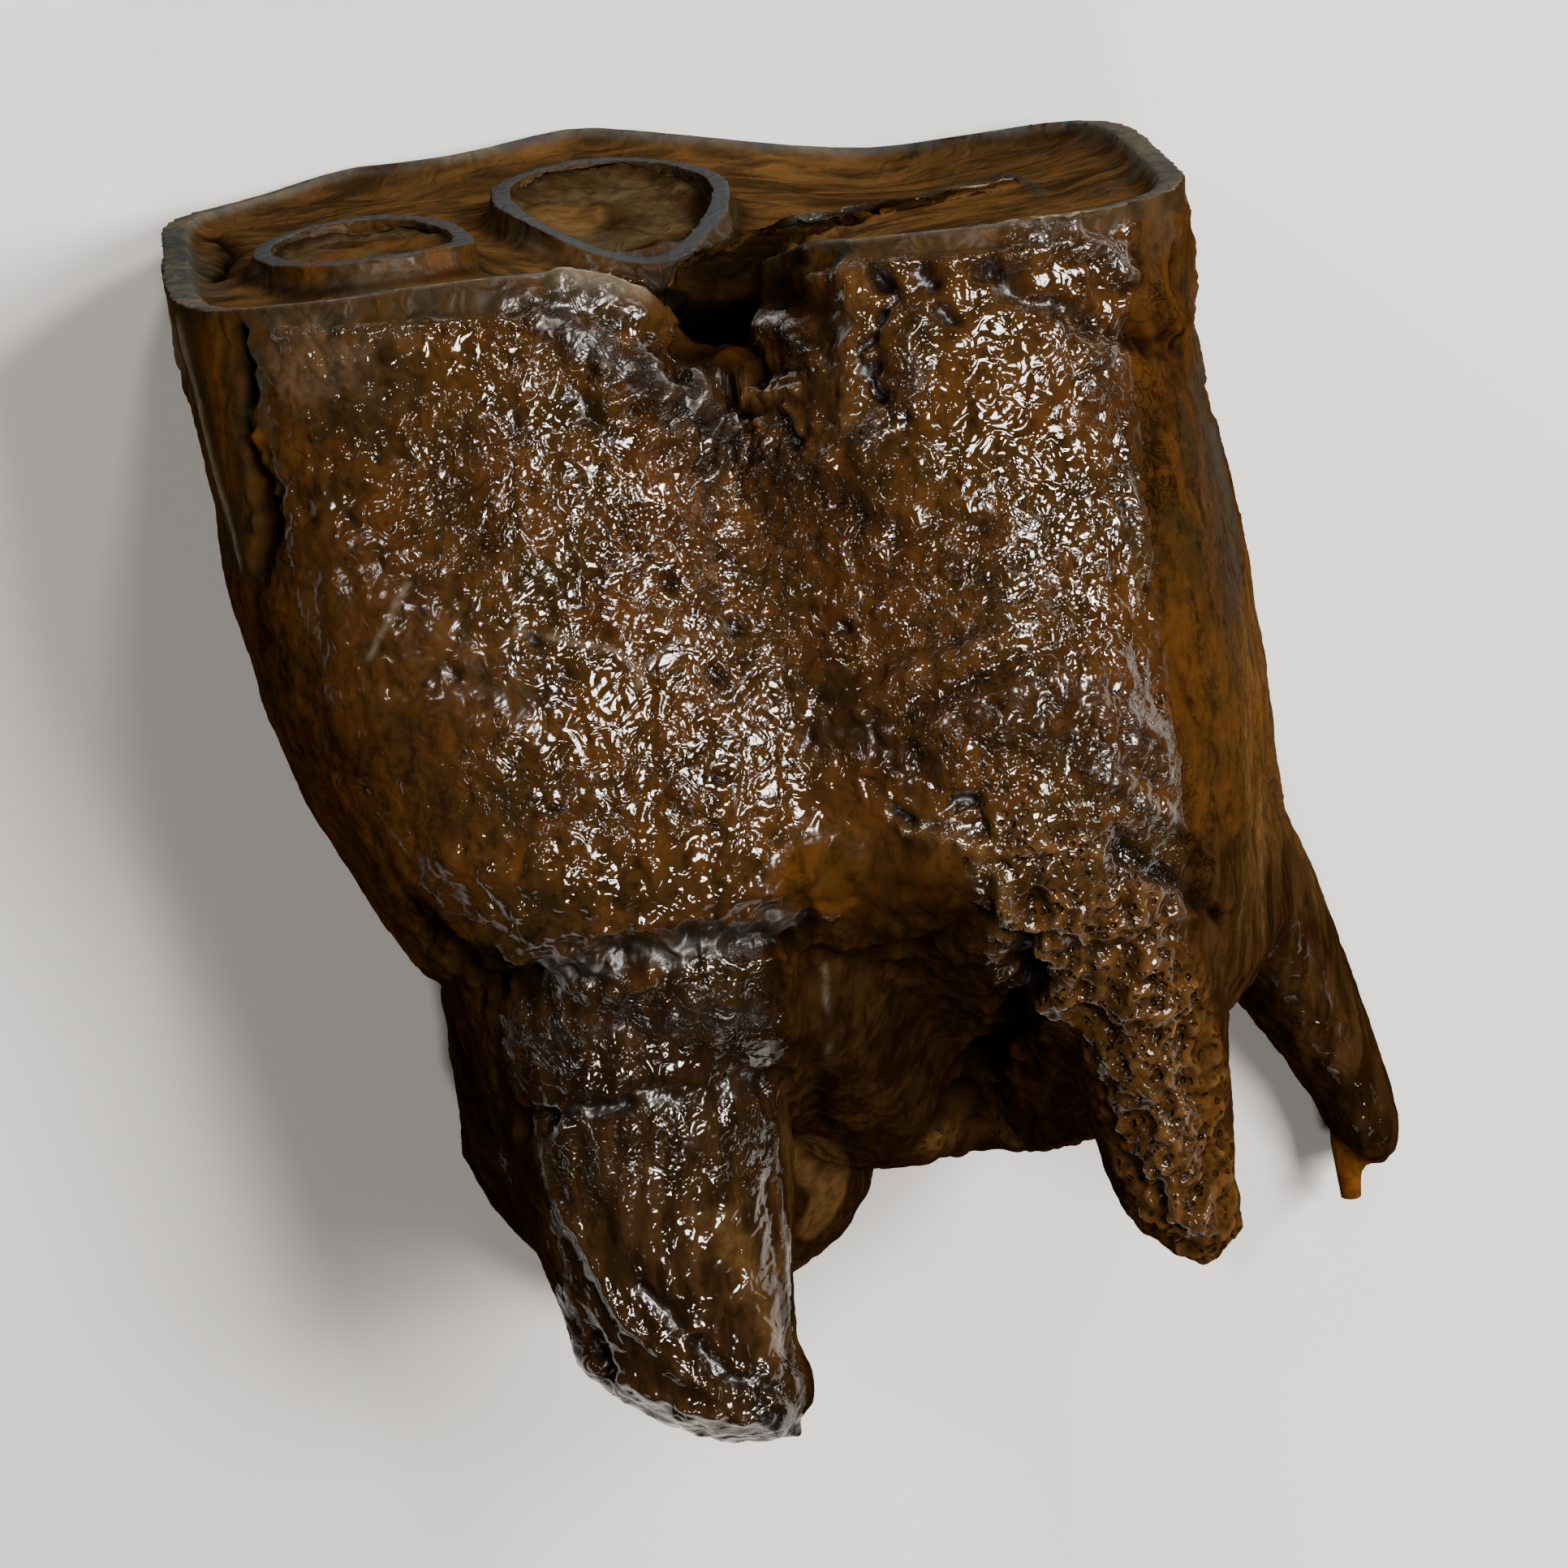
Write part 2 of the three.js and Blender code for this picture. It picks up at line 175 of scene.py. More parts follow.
def makeBlock(values):
    copies = []
    for name, node in sorted(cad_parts.items()):
        copy = node.copy()
        copy.data = node.data.copy()
        copy.parent = None
        bpy.context.collection.objects.link(copy)
        for label in list(copy.keys()):
            del copy[label]
        pick(copy)
        bpy.ops.object.mode_set(mode="EDIT")
        bpy.ops.mesh.select_all(action="SELECT")
        bpy.ops.mesh.remove_doubles(threshold=values["weld"])
        bpy.ops.object.mode_set(mode="OBJECT")
        applyModifier(copy, "DISPLACE", strength=values["overlap"] * mm, mid_level=0)
        copies.append(copy)
    sliver = values["splinter"]
    deselectAll()
    bpy.ops.mesh.primitive_cone_add(
        vertices=16, radius1=sliver["radius"] * mm, radius2=sliver["tip"] * mm, depth=sliver["length"] * mm,
        location=(np.array(sliver["at"]) + toothZero) * mm, rotation=(math.pi / 2, 0, 0))
    copies.append(bpy.context.object)
    deselectAll()
    for copy in copies:
        copy.select_set(True)
    bpy.context.view_layer.objects.active = copies[0]
    bpy.ops.object.join()
    whole = bpy.context.object
    whole.name = "carvedTooth"
    whole.data.materials.clear()
    applyModifier(whole, "REMESH", mode="VOXEL", voxel_size=values["voxel"] * mm, use_smooth_shade=True)
    applyModifier(whole, "SMOOTH", factor=values["softness"], iterations=values["smoothing"])
    applyModifier(whole, "DISPLACE", strength=-values["overlap"] * mm, mid_level=0)
    return whole


tooth = makeBlock(block)
tell(f"block of {len(tooth.data.vertices)} points")


# carving: arrays of points in millimetres

def readAll(items, label, width=1, kind=float):
    values = np.empty(len(items) * width, dtype=kind)
    items.foreach_get(label, values)
    return values.reshape(-1, width) if width > 1 else values


def readPoints(data):
    return readAll(data.vertices, "co", 3) / mm - toothZero


def writePoints(thing, points):
    thing.data.vertices.foreach_set("co", ((points + toothZero) * mm).ravel())
    thing.data.update()


def readNormals(thing):
    return readAll(thing.data.vertex_normals, "vector", 3)


def evenedOut(values, edges, steps):
    # each point moves towards the mean of its neighbours
    count = len(values)
    wide = values.reshape(count, -1).copy()
    degree = np.bincount(edges.ravel(), minlength=count).clip(1)
    for _ in range(steps):
        for column in range(wide.shape[1]):
            total = np.bincount(edges[:, 0], wide[edges[:, 1], column], count)
            total += np.bincount(edges[:, 1], wide[edges[:, 0], column], count)
            wide[:, column] = 0.5 * wide[:, column] + 0.5 * total / degree
    return wide.reshape(values.shape)


def ease(low, high, values):
    share = np.clip((values - low) / (high - low), 0, 1)
    return share * share * (3 - 2 * share)


def bell(distance, width):
    return np.exp(-((distance / width) ** 2))


def closeTo(points, place, reach):
    # 1 at the place, fading out around it
    return bell(np.linalg.norm(points - np.array(place), axis=1), reach)


def cellHash(cell, seed):
    value = (cell[:, 0] * 73856093) ^ (cell[:, 1] * 19349663) ^ (cell[:, 2] * 83492791) ^ (seed * 668265263)
    value = (value ^ (value >> 13)) * 1274126177
    return (value ^ (value >> 16)) & 0x7FFFFFFF


def waves(points, size, seed):
    # smooth gradient noise from about -1 to 1, one swell for each size
    spot = points / size + seed * 7.31
    cell = np.floor(spot).astype(np.int64)
    inside = spot - cell
    blend = inside ** 3 * (inside * (inside * 6 - 15) + 10)
    total = np.zeros(len(points))
    for corner in itertools.product((0, 1), repeat=3):
        step = np.array(corner)
        value = cellHash(cell + step, seed)
        turn = (value & 0xFFFF) / 65536 * 2 * np.pi
        rise = ((value >> 16) & 0x7FFF) / 16384 - 1
        flat = np.sqrt(np.clip(1 - rise * rise, 0, 1))
        away = inside - step
        slope = flat * np.cos(turn) * away[:, 0] + flat * np.sin(turn) * away[:, 1] + rise * away[:, 2]
        share = np.prod(np.where(step == 1, blend, 1 - blend), axis=1)
        total += share * slope
    return total * 1.7


def crumple(points, size, seed, layers=3):
    total = np.zeros(len(points))
    weight = 1.0
    for layer in range(layers):
        total += weight * waves(points, size / 2 ** layer, seed + layer * 5)
        weight *= 0.5
    return total


def pits(points, size, seed, share=0.5, radius=0.35):
    # round hollows scattered in a grid of cells: 1 at each one's middle
    spot = points / size + seed * 3.17
    cell = np.floor(spot).astype(np.int64)
    deepest = np.zeros(len(points))
    for offset in itertools.product((-1, 0, 1), repeat=3):
        near = cell + np.array(offset)
        value = cellHash(near, seed)
        middle = near + np.stack([value & 1023, (value >> 10) & 1023, (value >> 20) & 1023], axis=1) / 1023
        wide = radius * (0.5 + ((value >> 5) & 255) / 255)
        open_ = ((value >> 3) & 255) / 255 < share
        distance = np.linalg.norm(spot - middle, axis=1)
        deepest = np.maximum(deepest, np.where(open_, bell(distance, wide), 0))
    return deepest


# which named piece each point belongs to

def nearestNode(points):
    corners, faces, owners, names = [], [], [], sorted(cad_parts)
    count = 0
    for index, name in enumerate(names):
        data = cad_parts[name].data
        corners.append(readPoints(data))
        data.calc_loop_triangles()
        faces.append(readAll(data.loop_triangles, "vertices", 3, np.int64) + count)
        owners += [index] * len(faces[-1])
        count += len(corners[-1])
    tree = BVHTree.FromPolygons(np.concatenate(corners).tolist(), np.concatenate(faces).tolist())
    owner = np.zeros(len(points), dtype=np.int64)
    for index, place in enumerate(points.tolist()):
        owner[index] = owners[tree.find_nearest(place)[2]]
    return names, owner


points = readPoints(tooth.data)
edges = readAll(tooth.data.edges, "vertices", 2, np.int64)
nodeNames, nodeOf = nearestNode(points)
isNode = {name: (nodeOf == index).astype(float) for index, name in enumerate(nodeNames)}
tell("each point matched to its named piece")


# old cement packed in the two enamel pits of the chewing face and in its open valley

wornFace = {"height": 2.0, "at": 14, "fall": 0.0625}  # its height y at one z, and how it falls away from there
flattening = 0.04  # how much of the hollow's own depth is left under the packing

pitFills = {
    "enamel_medifossette": {"below": 0.75, "unevenness": 0.28, "reach": 6},
    "enamel_postfossette": {"below": 0.55, "unevenness": 0.22, "reach": 6},
}


def faceHeight(z):
    return wornFace["height"] - wornFace["fall"] * (z - wornFace["at"])


def fillPit(points, name, values):
    # the filling lies a little below the ring's crest
    crest = (isNode[name] > 0) & (evenedOut(readNormals(tooth)[:, 1], edges, 3) > 0.8)
    tops = points[crest]
    middle = (tops.min(axis=0) + tops.max(axis=0)) / 2
    plane = np.linalg.lstsq(np.c_[np.ones(len(tops)), tops[:, 0], tops[:, 2]], tops[:, 1], rcond=None)[0]
    turn = np.arctan2(tops[:, 2] - middle[2], tops[:, 0] - middle[0])
    order = np.argsort(turn)
    x, y, z = points.T
    around = np.arctan2(z - middle[2], x - middle[0])
    ringAway = np.hypot(tops[:, 0] - middle[0], tops[:, 2] - middle[2])[order]
    share = np.hypot(x - middle[0], z - middle[2]) / np.interp(around, turn[order], ringAway, period=2 * np.pi)
    level = plane[0] + plane[1] * x + plane[2] * z - values["below"]
    bumps = values["unevenness"] * crumple(points * np.array([1, 0, 1]), 2.6, 31)
    level += bumps + 0.5 * values["below"] * ease(0.6, 1.0, share)  # banked up against the ring
    deep = (share < 1) & (y < level) & (y > level - values["reach"])
    points[deep, 1] = level[deep] - flattening * (level - y)[deep]
    return deep * ease(1.0, 0.85, share)


valleyFill = {
    "line": [(-1.5, 50), (-1.0, 41), (0.6, 32), (3.6, 24.5), (9.0, 20), (15.5, 18.6)],  # x, z
    "halfWidth": [3.6, 3.2, 2.6, 2.1, 1.6, 1.2],
    # how far below the chewing face the packing lies at each z
    "depth": [(20, 0.45), (26, 0.7), (32, 1.0), (35, 2.3), (37.5, 4.4), (40, 5.3), (43, 5.0)],
    "reach": 14,
    "unevenness": 0.35,
    "bank": 1.2,
    "mouth": 42.6,  # z where the packing ends
    "softening": {"at": (-0.3, -3.0, 42.0), "reach": 4.5, "steps": 14},
}


def fillValley(points, values):
    x, y, z = points.T
    line = np.array(values["line"])
    away, wide = np.full(len(points), 1e9), np.zeros(len(points))
    for index in range(len(line) - 1):
        run = line[index + 1] - line[index]
        along = np.clip(((points[:, [0, 2]] - line[index]) @ run) / (run @ run), 0, 1)
        distance = np.hypot(x - line[index][0] - along * run[0], z - line[index][1] - along * run[1])
        nearer = distance < away
        away[nearer] = distance[nearer]
        halves = values["halfWidth"]
        wide[nearer] = (halves[index] * (1 - along) + halves[index + 1] * along)[nearer]
    depthZ, depth = np.array(values["depth"]).T
    bumps = values["unevenness"] * crumple(points * np.array([1, 0.3, 1]), 2.2, 32)
    level = faceHeight(z) - np.interp(z, depthZ, depth) + bumps
    level += values["bank"] * ease(0.45, 1.0, away / wide) * ease(30, 36, z)  # banked up against the walls
    deep = (away < wide + 0.4) & (y < level) & (y > level - values["reach"]) & (z < values["mouth"])
    points[deep, 1] = level[deep] - flattening * (level - y)[deep]
    soft = values["softening"]
    share = closeTo(points, soft["at"], soft["reach"])[:, None]
    points += share * (evenedOut(points, edges, soft["steps"]) - points)
    return deep * ease(1.1, 0.8, away / wide)


filling = sum(fillPit(points, name, values) for name, values in pitFills.items())
packed = fillValley(points, valleyFill)
writePoints(tooth, points)
tell("enamel pits and valley packed")

smoothNormals = evenedOut(readNormals(tooth), edges, 6)
smoothNormals /= np.linalg.norm(smoothNormals, axis=1)[:, None]
wander = [waves(points, 2.6, seed) + 0.5 * waves(points, 0.9, seed + 3) for seed in (11, 12, 13)]
wander = np.stack(wander, axis=1)  # pushes outlines off their straight lines
warped = points + wander * 0.55
uneven = 0.85 + 0.5 * waves(points, 1.5, 17)
frayed = (0.85 + 0.5 * waves(points, 1.1, 18) + 0.25 * waves(points, 0.5, 19)).clip(0.35, 1.6)
tell("points ready to carve")


# zones of the surface

zones = {
    # the cement's upper edge on the palate side: x, y
    "cementEdge": [(-26, -1.9), (-22, -1.7), (-15, -2.1), (-8.3, -2.1), (-6.2, -2.7), (-4.2, -3.7),
                   (-2.6, -5.3), (-1.4, -6.3), (0.0, -6.3), (0.8, -4.0), (3.0, -1.6), (8.0, -1.3),
                   (15.0, -1.1), (20.5, -0.9), (24.0, -0.9)],
    "cementClimb": 5.0,  # how far that edge climbs towards the cheek side
    "palateHeight": 46.0,
    # the crown's base, where cement gives way to root: x, y
    "rootEdge": [(-30, -31), (-20, -33), (-10, -33.5), (-2, -33), (3, -31), (6.5, -28.0), (12, -28.8),
                 (18, -30.2), (23, -31.5), (32, -30)],
    "bareBack": {"x": -22.9, "from": -13.2},  # bare enamel on the back face, down to this level
    "bareFront": {"x": 22.6, "from": -17.0},
    "islands": {"size": 9.0, "below": (0.5, -3)},  # patches of cement left on the other sides
}


def zoneMasks(points, values):
    x, y, z = points.T
    ragged = 0.35 * waves(points, 1.6, 21) + 0.2 * waves(points, 0.7, 22)
    edgeX, edgeY = np.array(values["cementEdge"]).T
    rise = values["cementClimb"] * np.clip(1 - z / values["palateHeight"], 0, 1)
    below = np.interp(x, edgeX, edgeY) + rise - y + ragged
    cement = ease(-0.15, 0.35, below)
    back = values["bareBack"]
    bare = ease(0.25, -0.25, x - back["x"] + ragged * 1.3 + 0.04 * y)
    bare *= ease(-0.8, 0.8, y - back["from"] + 3 * ragged)
    front = values["bareFront"]
    fore = ease(-0.4, 0.4, x - front["x"] + ragged) * ease(36, 30, z + 4 * ragged)
    fore *= ease(-1, 1, y - front["from"] + 4 * ragged)
    cheek = ease(14, 9, z + 2 * ragged) * ease(-1, 1, y + 24 + 5 * ragged)
    cement = cement * (1 - bare) * (1 - fore) * (1 - cheek)
    rootX, rootY = np.array(values["rootEdge"]).T
    down = np.interp(x, rootX, rootY) - y + (1.4 + 2.0 * ease(44, 36, z)) * waves(points, 3.0, 23)
    down += 0.7 * waves(points, 1.1, 24)
    root = ease(-0.5, 0.9, down)
    patches = values["islands"]
    islands = ease(0.15, 0.35, crumple(points * np.array([1, 0.8, 1]), patches["size"], 25))
    islands *= ease(40, 34, z) * ease(*patches["below"], y)
    return np.maximum(cement, islands) * (1 - root), root


cement, root = zoneMasks(points, zones)
face = ease(0.35, 0.75, smoothNormals[:, 1]) * ease(-7.5, -5.5, points[:, 1])  # the worn chewing face
cement *= 1 - face
rims = isNode["enamel_band"] + isNode["enamel_medifossette"] + isNode["enamel_postfossette"]
rims = evenedOut(rims, edges, 3)
rings = evenedOut(isNode["enamel_medifossette"] + isNode["enamel_postfossette"], edges, 3)
tell("zones marked")


# carving: each mark is a line of places with its half-width, how far it lifts or sinks, and what it stains

def mark(width, lift, ragged, path, flat=False, **paint):
    return {"width": width, "lift": lift, "path": path, "ragged": ragged, "flat": flat, "paint": paint}


# marks that darken cracks, pits, grooves and recesses paint shade into them; a few darken real dark fillings
marks = dict(
    # rim and notch
    bendLip=mark(0.45, 0.2, 0, [(-8.1, -0.4, 46), (-6, -0.8, 45.5), (-4.6, -1.8, 44.3)], pale=0.6),
    bendRidge=mark(2.1, 0.5, 0.4, [(-8.7, -2.6, 46.5), (-6.7, -3.9, 46.3), (-5.1, -5.4, 45.8), (-3.8, -7.1, 45),
        (-2.3, -8.4, 43.8)], crinkle=1.3),
    bendWall=mark(0.9, 0.6, 0, [(-4.4, -2.4, 44.5), (-3, -3.7, 38.8), (-1.6, -4.7, 38.8), (-0.2, -5.1, 42.1)],
        smooth=0.9, ochre=0.25),
    bendRidgeThin=mark(0.55, 0.5, 0.2, [(-5.2, -2.7, 45.4), (-3.8, -4, 42.2), (-2.6, -5.3, 42.2),
        (-1.4, -6.4, 42.6)], crinkle=1.2),
    crustShoulder=mark(1.9, 1.5, 0.3, [(-4.9, -6.6, 46), (-3.8, -7.7, 45.3), (-2.6, -8.7, 44.2),
        (-1.3, -9.5, 43.6)], crinkle=1.3),
    bendGroove=mark(0.4, -0.5, 0.4, [(-6.2, -2.7, 46), (-4.8, -4.3, 45.4), (-3.5, -6, 42.6),
        (-2.1, -7.3, 43.1)], soot=0.8),
    bendPocks=mark(0.7, -0.35, 0.8, [(-8.6, -5.7, 47), (-7.6, -7.5, 47.1), (-6, -8.6, 47)], soot=0.55),
    mouthCrack=mark(0.42, -1.0, 0.5, [(-3.3, -9, 45.2), (-2, -8.7, 43.7), (-0.7, -8.3, 42.9), (0.7, -8, 43.5),
        (1.8, -8.4, 44.9), (2.5, -9.3, 45.9)], soot=1),
    crackLip=mark(1.2, 0.4, 0.5, [(-2.9, -10.2, 45.2), (-0.9, -10, 43.7), (1, -10, 44.8), (2, -10.6, 46)],
        crinkle=1.1),
    tanRidge=mark(0.38, 0.4, 0.2, [(-1.2, -7.1, 42.6), (0.2, -7.1, 42.7), (1.5, -7.1, 44), (2.7, -7.1, 45.5)],
        tan=1),
    tanPeg=mark(0.4, 0.35, 0.2, [(2.1, -7.8, 45), (2.5, -8.9, 45.8)], tan=1),
    mouthScoop=mark(1.3, -0.25, 0.6, [(2.1, -1.9, 41.6), (3.2, -2.7, 44.1), (4, -3.7, 45.5), (4.3, -4.8, 46.1)],
        smooth=0.6, soot=0.75),
    mouthBump=mark(0.8, 0.7, 0.3, [(0.6, -4.8, 39.2), (1.7, -4, 42.3), (2.7, -3.9, 44), (3.5, -4.9, 45.5)],
        crinkle=1.2),
    mouthStep=mark(0.32, -0.5, 0.3, [(-0.5, -6.3, 42.6), (0.6, -6.5, 42.7), (1.2, -6.4, 42.9)], soot=1),
    mouthSeam=mark(0.22, -0.3, 0.2, [(1.3, -6.1, 42.6), (2.4, -6, 44.6), (3.6, -6.1, 46)], soot=0.7),
    mouthCrumbs=mark(0.8, 0.2, 0.8, [(5.7, -1.4, 46.1), (5.3, -4.1, 46.5), (5.3, -6.4, 47.1),
        (5.1, -8.7, 47.4)], tan=0.7),
    mouthPit=mark(1.6, -0.6, 0, [(-2, -3, 36.8), (-0.7, -3.6, 37.2), (0.8, -3.3, 36.7)], flat=True, smooth=1,
        soot=1),
    # a pale enamel tip painted with a glint
    mouthTipGlint=mark(0.3, 0.15, 0, [(-3.9, -2.2, 27.6), (-3, -2, 36.6)], pale=1),
    lobeCrack=mark(0.42, -1.0, 0.8, [(7.1, -2.8, 46.8), (6.5, -5, 47), (6.5, -6.9, 47.4), (6.8, -8.6, 47.7),
        (7.4, -9.7, 48)], soot=1),
    blisterA=mark(1.0, 0.5, 0.3, [(3.5, -10.6, 47.1), (4.3, -9.9, 47.3)], crinkle=0.9),
    blisterB=mark(0.9, 0.5, 0.3, [(5.3, -9.7, 47.7), (6.1, -9.2, 47.7)], crinkle=1.1),
    blisterC=mark(0.75, 0.45, 0.3, [(6.4, -10.5, 48), (8.3, -10.8, 48.3)], crinkle=0.6),
    # palate face of the front lobe
    shelfEdge=mark(0.33, 0.35, 0.2, [(5.6, -1.3, 46), (8.1, -1.3, 46.7), (11.2, -1.9, 46.8),
        (13.5, -1.9, 46.5)], crinkle=0.6),
    shelfBulge=mark(1.0, 0.8, 0.4, [(13.8, -1.1, 46.3), (16.3, -1.4, 45.6), (18.4, -2.5, 44.7),
        (20, -4.5, 43.2), (20.8, -6.2, 41.7)], crinkle=1),
    shelfGloss=mark(0.85, 0.45, 0.5, [(8.7, -4.1, 47.1), (8.1, -6.3, 47.5), (7.5, -8.2, 47.8)], crinkle=1),
    shelfHollow=mark(0.75, -0.95, 0.5, [(12.5, -2.7, 46.8), (14.7, -4, 46.4), (16.9, -5.3, 45.6),
        (19.1, -6.2, 44.1), (20.7, -6.9, 41.8)], soot=0.6),
    shelfHoleA=mark(0.5, -1.3, 0.3, [(6.7, -1.8, 46.5), (7.2, -2.4, 46.7)], soot=1),
    shelfHoleB=mark(0.6, -1.2, 0.3, [(8.5, -1.9, 46.8), (9.2, -2.6, 47)], soot=1),
    shelfHoleC=mark(0.45, -0.8, 0.3, [(9.8, -3.7, 47.1), (10.6, -4.5, 47.2)], soot=0.8),
    shelfHoleD=mark(0.5, -0.9, 0.3, [(11.9, -2.2, 46.8), (12.5, -2.4, 46.7)], soot=0.8),
    frontDimple=mark(0.8, -0.4, 0.5, [(6.6, -14.3, 48.7), (8.9, -13.7, 48.8), (10.6, -14.5, 48.9)], soot=0.35),
    middleDimple=mark(1.0, -0.45, 0.5, [(2.6, -11.6, 46.7), (4.9, -13.3, 48.2)], soot=0.35),
    slantRidge=mark(0.75, 0.5, 0.3, [(4, -22.2, 49), (6.8, -20.9, 49.6), (9.7, -19.6, 49.7),
        (12.7, -18.6, 49.3)], tan=0.2),
    slantGroove=mark(0.45, -0.45, 0.3, [(5.8, -23, 49.5), (8.7, -21.7, 49.8), (11.7, -20.5, 49.7)], soot=0.4),
    slantShadow=mark(0.5, -0.3, 0.4, [(8.5, -19.2, 49.6), (11.3, -18.9, 49.6), (13.7, -18.1, 49)], soot=0.3),
    frontSwell=mark(2.5, 0.8, 0, [(8.5, -23.1, 49.9), (11.7, -22.3, 49.8), (14.8, -23, 49.2),
        (17.1, -25.7, 48.3)], crinkle=0.9),
    middleHollow=mark(1.5, -0.55, 0.6, [(1.9, -23.3, 48.4), (3.9, -23.3, 49), (5.9, -24.6, 49.6)], soot=0.5),
    # crinkled, wet-looking patches
    wetMiddle=mark(4.2, 0, 1.5, [(-12.5, -9.6, 48), (-8.2, -12.3, 48.1), (-3.2, -16.4, 47.7),
        (-1, -21.3, 48.2)], crinkle=0.45),
    wetValley=mark(3.2, 0, 1.5, [(-2.5, -10, 44.7), (2.5, -13.9, 47.2), (7.3, -16.6, 49.2),
        (11.2, -16.2, 49.2)], crinkle=0.7),
    wetFront=mark(2.3, 0.3, 1, [(17, -6.9, 45.7), (18.9, -11.1, 44.8), (18, -15.6, 46.6)], crinkle=0.9),
    wetLow=mark(1.7, 0.2, 0.8, [(-13.9, -23.1, 49.8), (-11.1, -25.5, 50.1), (-6.3, -24.5, 49.6),
        (-1.9, -26.6, 49)], crinkle=0.6),
    wetSwell=mark(1.8, 0.1, 1, [(9.3, -23, 50), (13.8, -24.3, 49.6), (16.8, -26.8, 48.4), (18.6, -28.5, 47.1)],
        crinkle=0.9),
    wetRoot=mark(1.9, 0.25, 0.5, [(-13.6, -36.7, 45.9), (-8.4, -36.1, 47.4), (-2.5, -36.3, 47.1)], crinkle=1.1),
    wetRootLow=mark(1.6, 0.15, 0.8, [(-12.3, -42.8, 45.7), (-7.1, -42.5, 46.5), (-2.8, -42.9, 44.1)],
        crinkle=0.7),
    # a hairline crack and scratches on the palate face
    hairCrack=mark(0.15, -0.2, 0.1, [(-10.9, -6.3, 47.3), (-11.3, -8.5, 47.8), (-11.5, -10.8, 48.2),
        (-11.5, -12.4, 48.5)], soot=0.7),
    scratchA=mark(0.13, 0.05, 0, [(-11.9, -16.8, 49.3), (-9.5, -17.6, 49.2), (-7.5, -18.2, 49.1),
        (-6.2, -19.3, 49.1), (-6.5, -20.2, 49.2)], pale=0.55),
    scratchB=mark(0.12, 0.05, 0, [(-6.2, -19.2, 49.1), (-4.5, -18.2, 48.6), (-1.8, -17.8, 47.4)], pale=0.5),
    scratchC=mark(0.15, 0.05, 0, [(-16.8, -14.2, 48.5), (-17.9, -16, 48.4), (-18.9, -17.5, 48.2)], pale=0.6),
    # palate face of the back lobe
    ledgeLip=mark(0.35, 0.45, 0.1, [(-21.7, -1.7, 45.1), (-18, -1.9, 46.4), (-14.9, -2, 46.8),
        (-11.8, -2.2, 46.8), (-9.6, -2.3, 46.6)], crinkle=0.8),
    paleMottle=mark(1.4, 0, 1, [(-21.7, -3.1, 45.3), (-19.8, -4.2, 46.2), (-17.5, -3.3, 46.7),
        (-20.2, -2.4, 45.8)], pale=0.22),
    backDimples=mark(1.3, -0.35, 1, [(-17.9, -7.3, 47.2), (-15.6, -9.6, 47.9), (-13.9, -8.2, 47.8)], soot=0.25),
    backSwell=mark(3.0, 0.4, 0, [(-19.5, -13.1, 47.5), (-16.4, -17.2, 49), (-13.7, -20.6, 49.8)], smooth=0.4),
    neckSwell=mark(1.8, 0.45, 0.5, [(-17.6, -27.4, 47.7), (-13, -28.8, 49.5), (-7.6, -28.8, 49.8),
        (-2.9, -28.8, 49.2)]),
    # strip of bare enamel down the back edge
    stripEdge=mark(0.45, 0.1, 0, [(-26.9, -1, 39.1), (-26.5, -4.1, 39.3), (-26, -7.9, 39.8),
        (-25.1, -12.5, 41.7)], pale=0.9),
    stripOrange=mark(0.85, 0, 0, [(-25.5, -2, 42.3), (-25.3, -4.9, 42.2), (-25, -8.5, 42.4)], ochre=1,
        smooth=1),
    stripCrack=mark(0.5, -0.9, 0.3, [(-23.8, -1.6, 43.9), (-23.9, -3.8, 43.9), (-24, -6.2, 43.9),
        (-23.9, -8.2, 44.1)], soot=1),
    stripPit=mark(1.0, -1.6, 0.4, [(-23.6, -9, 44.3), (-23.4, -10.5, 44.6), (-23.7, -12.2, 44.4)], soot=1),
    stripFlake=mark(0.35, 0.5, 0.1, [(-23.5, -6.5, 44.4), (-23.5, -7.6, 44.4)], ochre=1.2),
    stripLow=mark(1.0, -0.2, 0.6, [(-24.3, -13.5, 43.3), (-24.2, -16.2, 43.1)], soot=0.5),
    # front corner and the enamel behind it
    cornerLip=mark(0.5, 0.35, 0, [(22.3, -2, 36.5), (22.2, -4.1, 35.5), (21.5, -6.2, 39.6)], ochre=0.4),
    cornerGroove=mark(0.35, -0.55, 0, [(21.3, -2.2, 41.4), (21, -4.3, 41.5), (21.1, -6.4, 40.9)], soot=0.5),
    stripSpot=mark(0.8, -0.3, 0.3, [(23.3, -22.2, 33.4), (23.5, -23.3, 32.4)], soot=1),
    # broken edge of the cement over the front root
    brokenLedge=mark(0.6, 0.65, 0.3, [(5.5, -27.9, 49.3), (7.4, -28.4, 49.7), (8.8, -29.4, 49.8),
        (9.9, -31.1, 49.5), (10.1, -32.9, 48.8)], tan=0.5, crinkle=0.3),
    ledgeHoleA=mark(0.4, -1.0, 0.3, [(5.2, -27.3, 49.3), (6, -27.7, 49.4)], soot=1),
    ledgeHoleB=mark(0.42, -1.0, 0.3, [(8.3, -26.9, 49.9), (8.9, -27.2, 49.9)], soot=1),
    ledgeGloss=mark(0.9, 0.45, 0.4, [(14.2, -26.3, 49.5), (16, -27.9, 48.7), (18.1, -29.3, 47.5),
        (20, -31.7, 45.3)], crinkle=1.2),
    ledgeDark=mark(0.7, -0.7, 0.4, [(15.4, -30.2, 48.9), (17.1, -31.6, 47.9), (18.8, -32.9, 46.4),
        (20.7, -34.6, 43.3)], soot=0.8, crinkle=0.8),
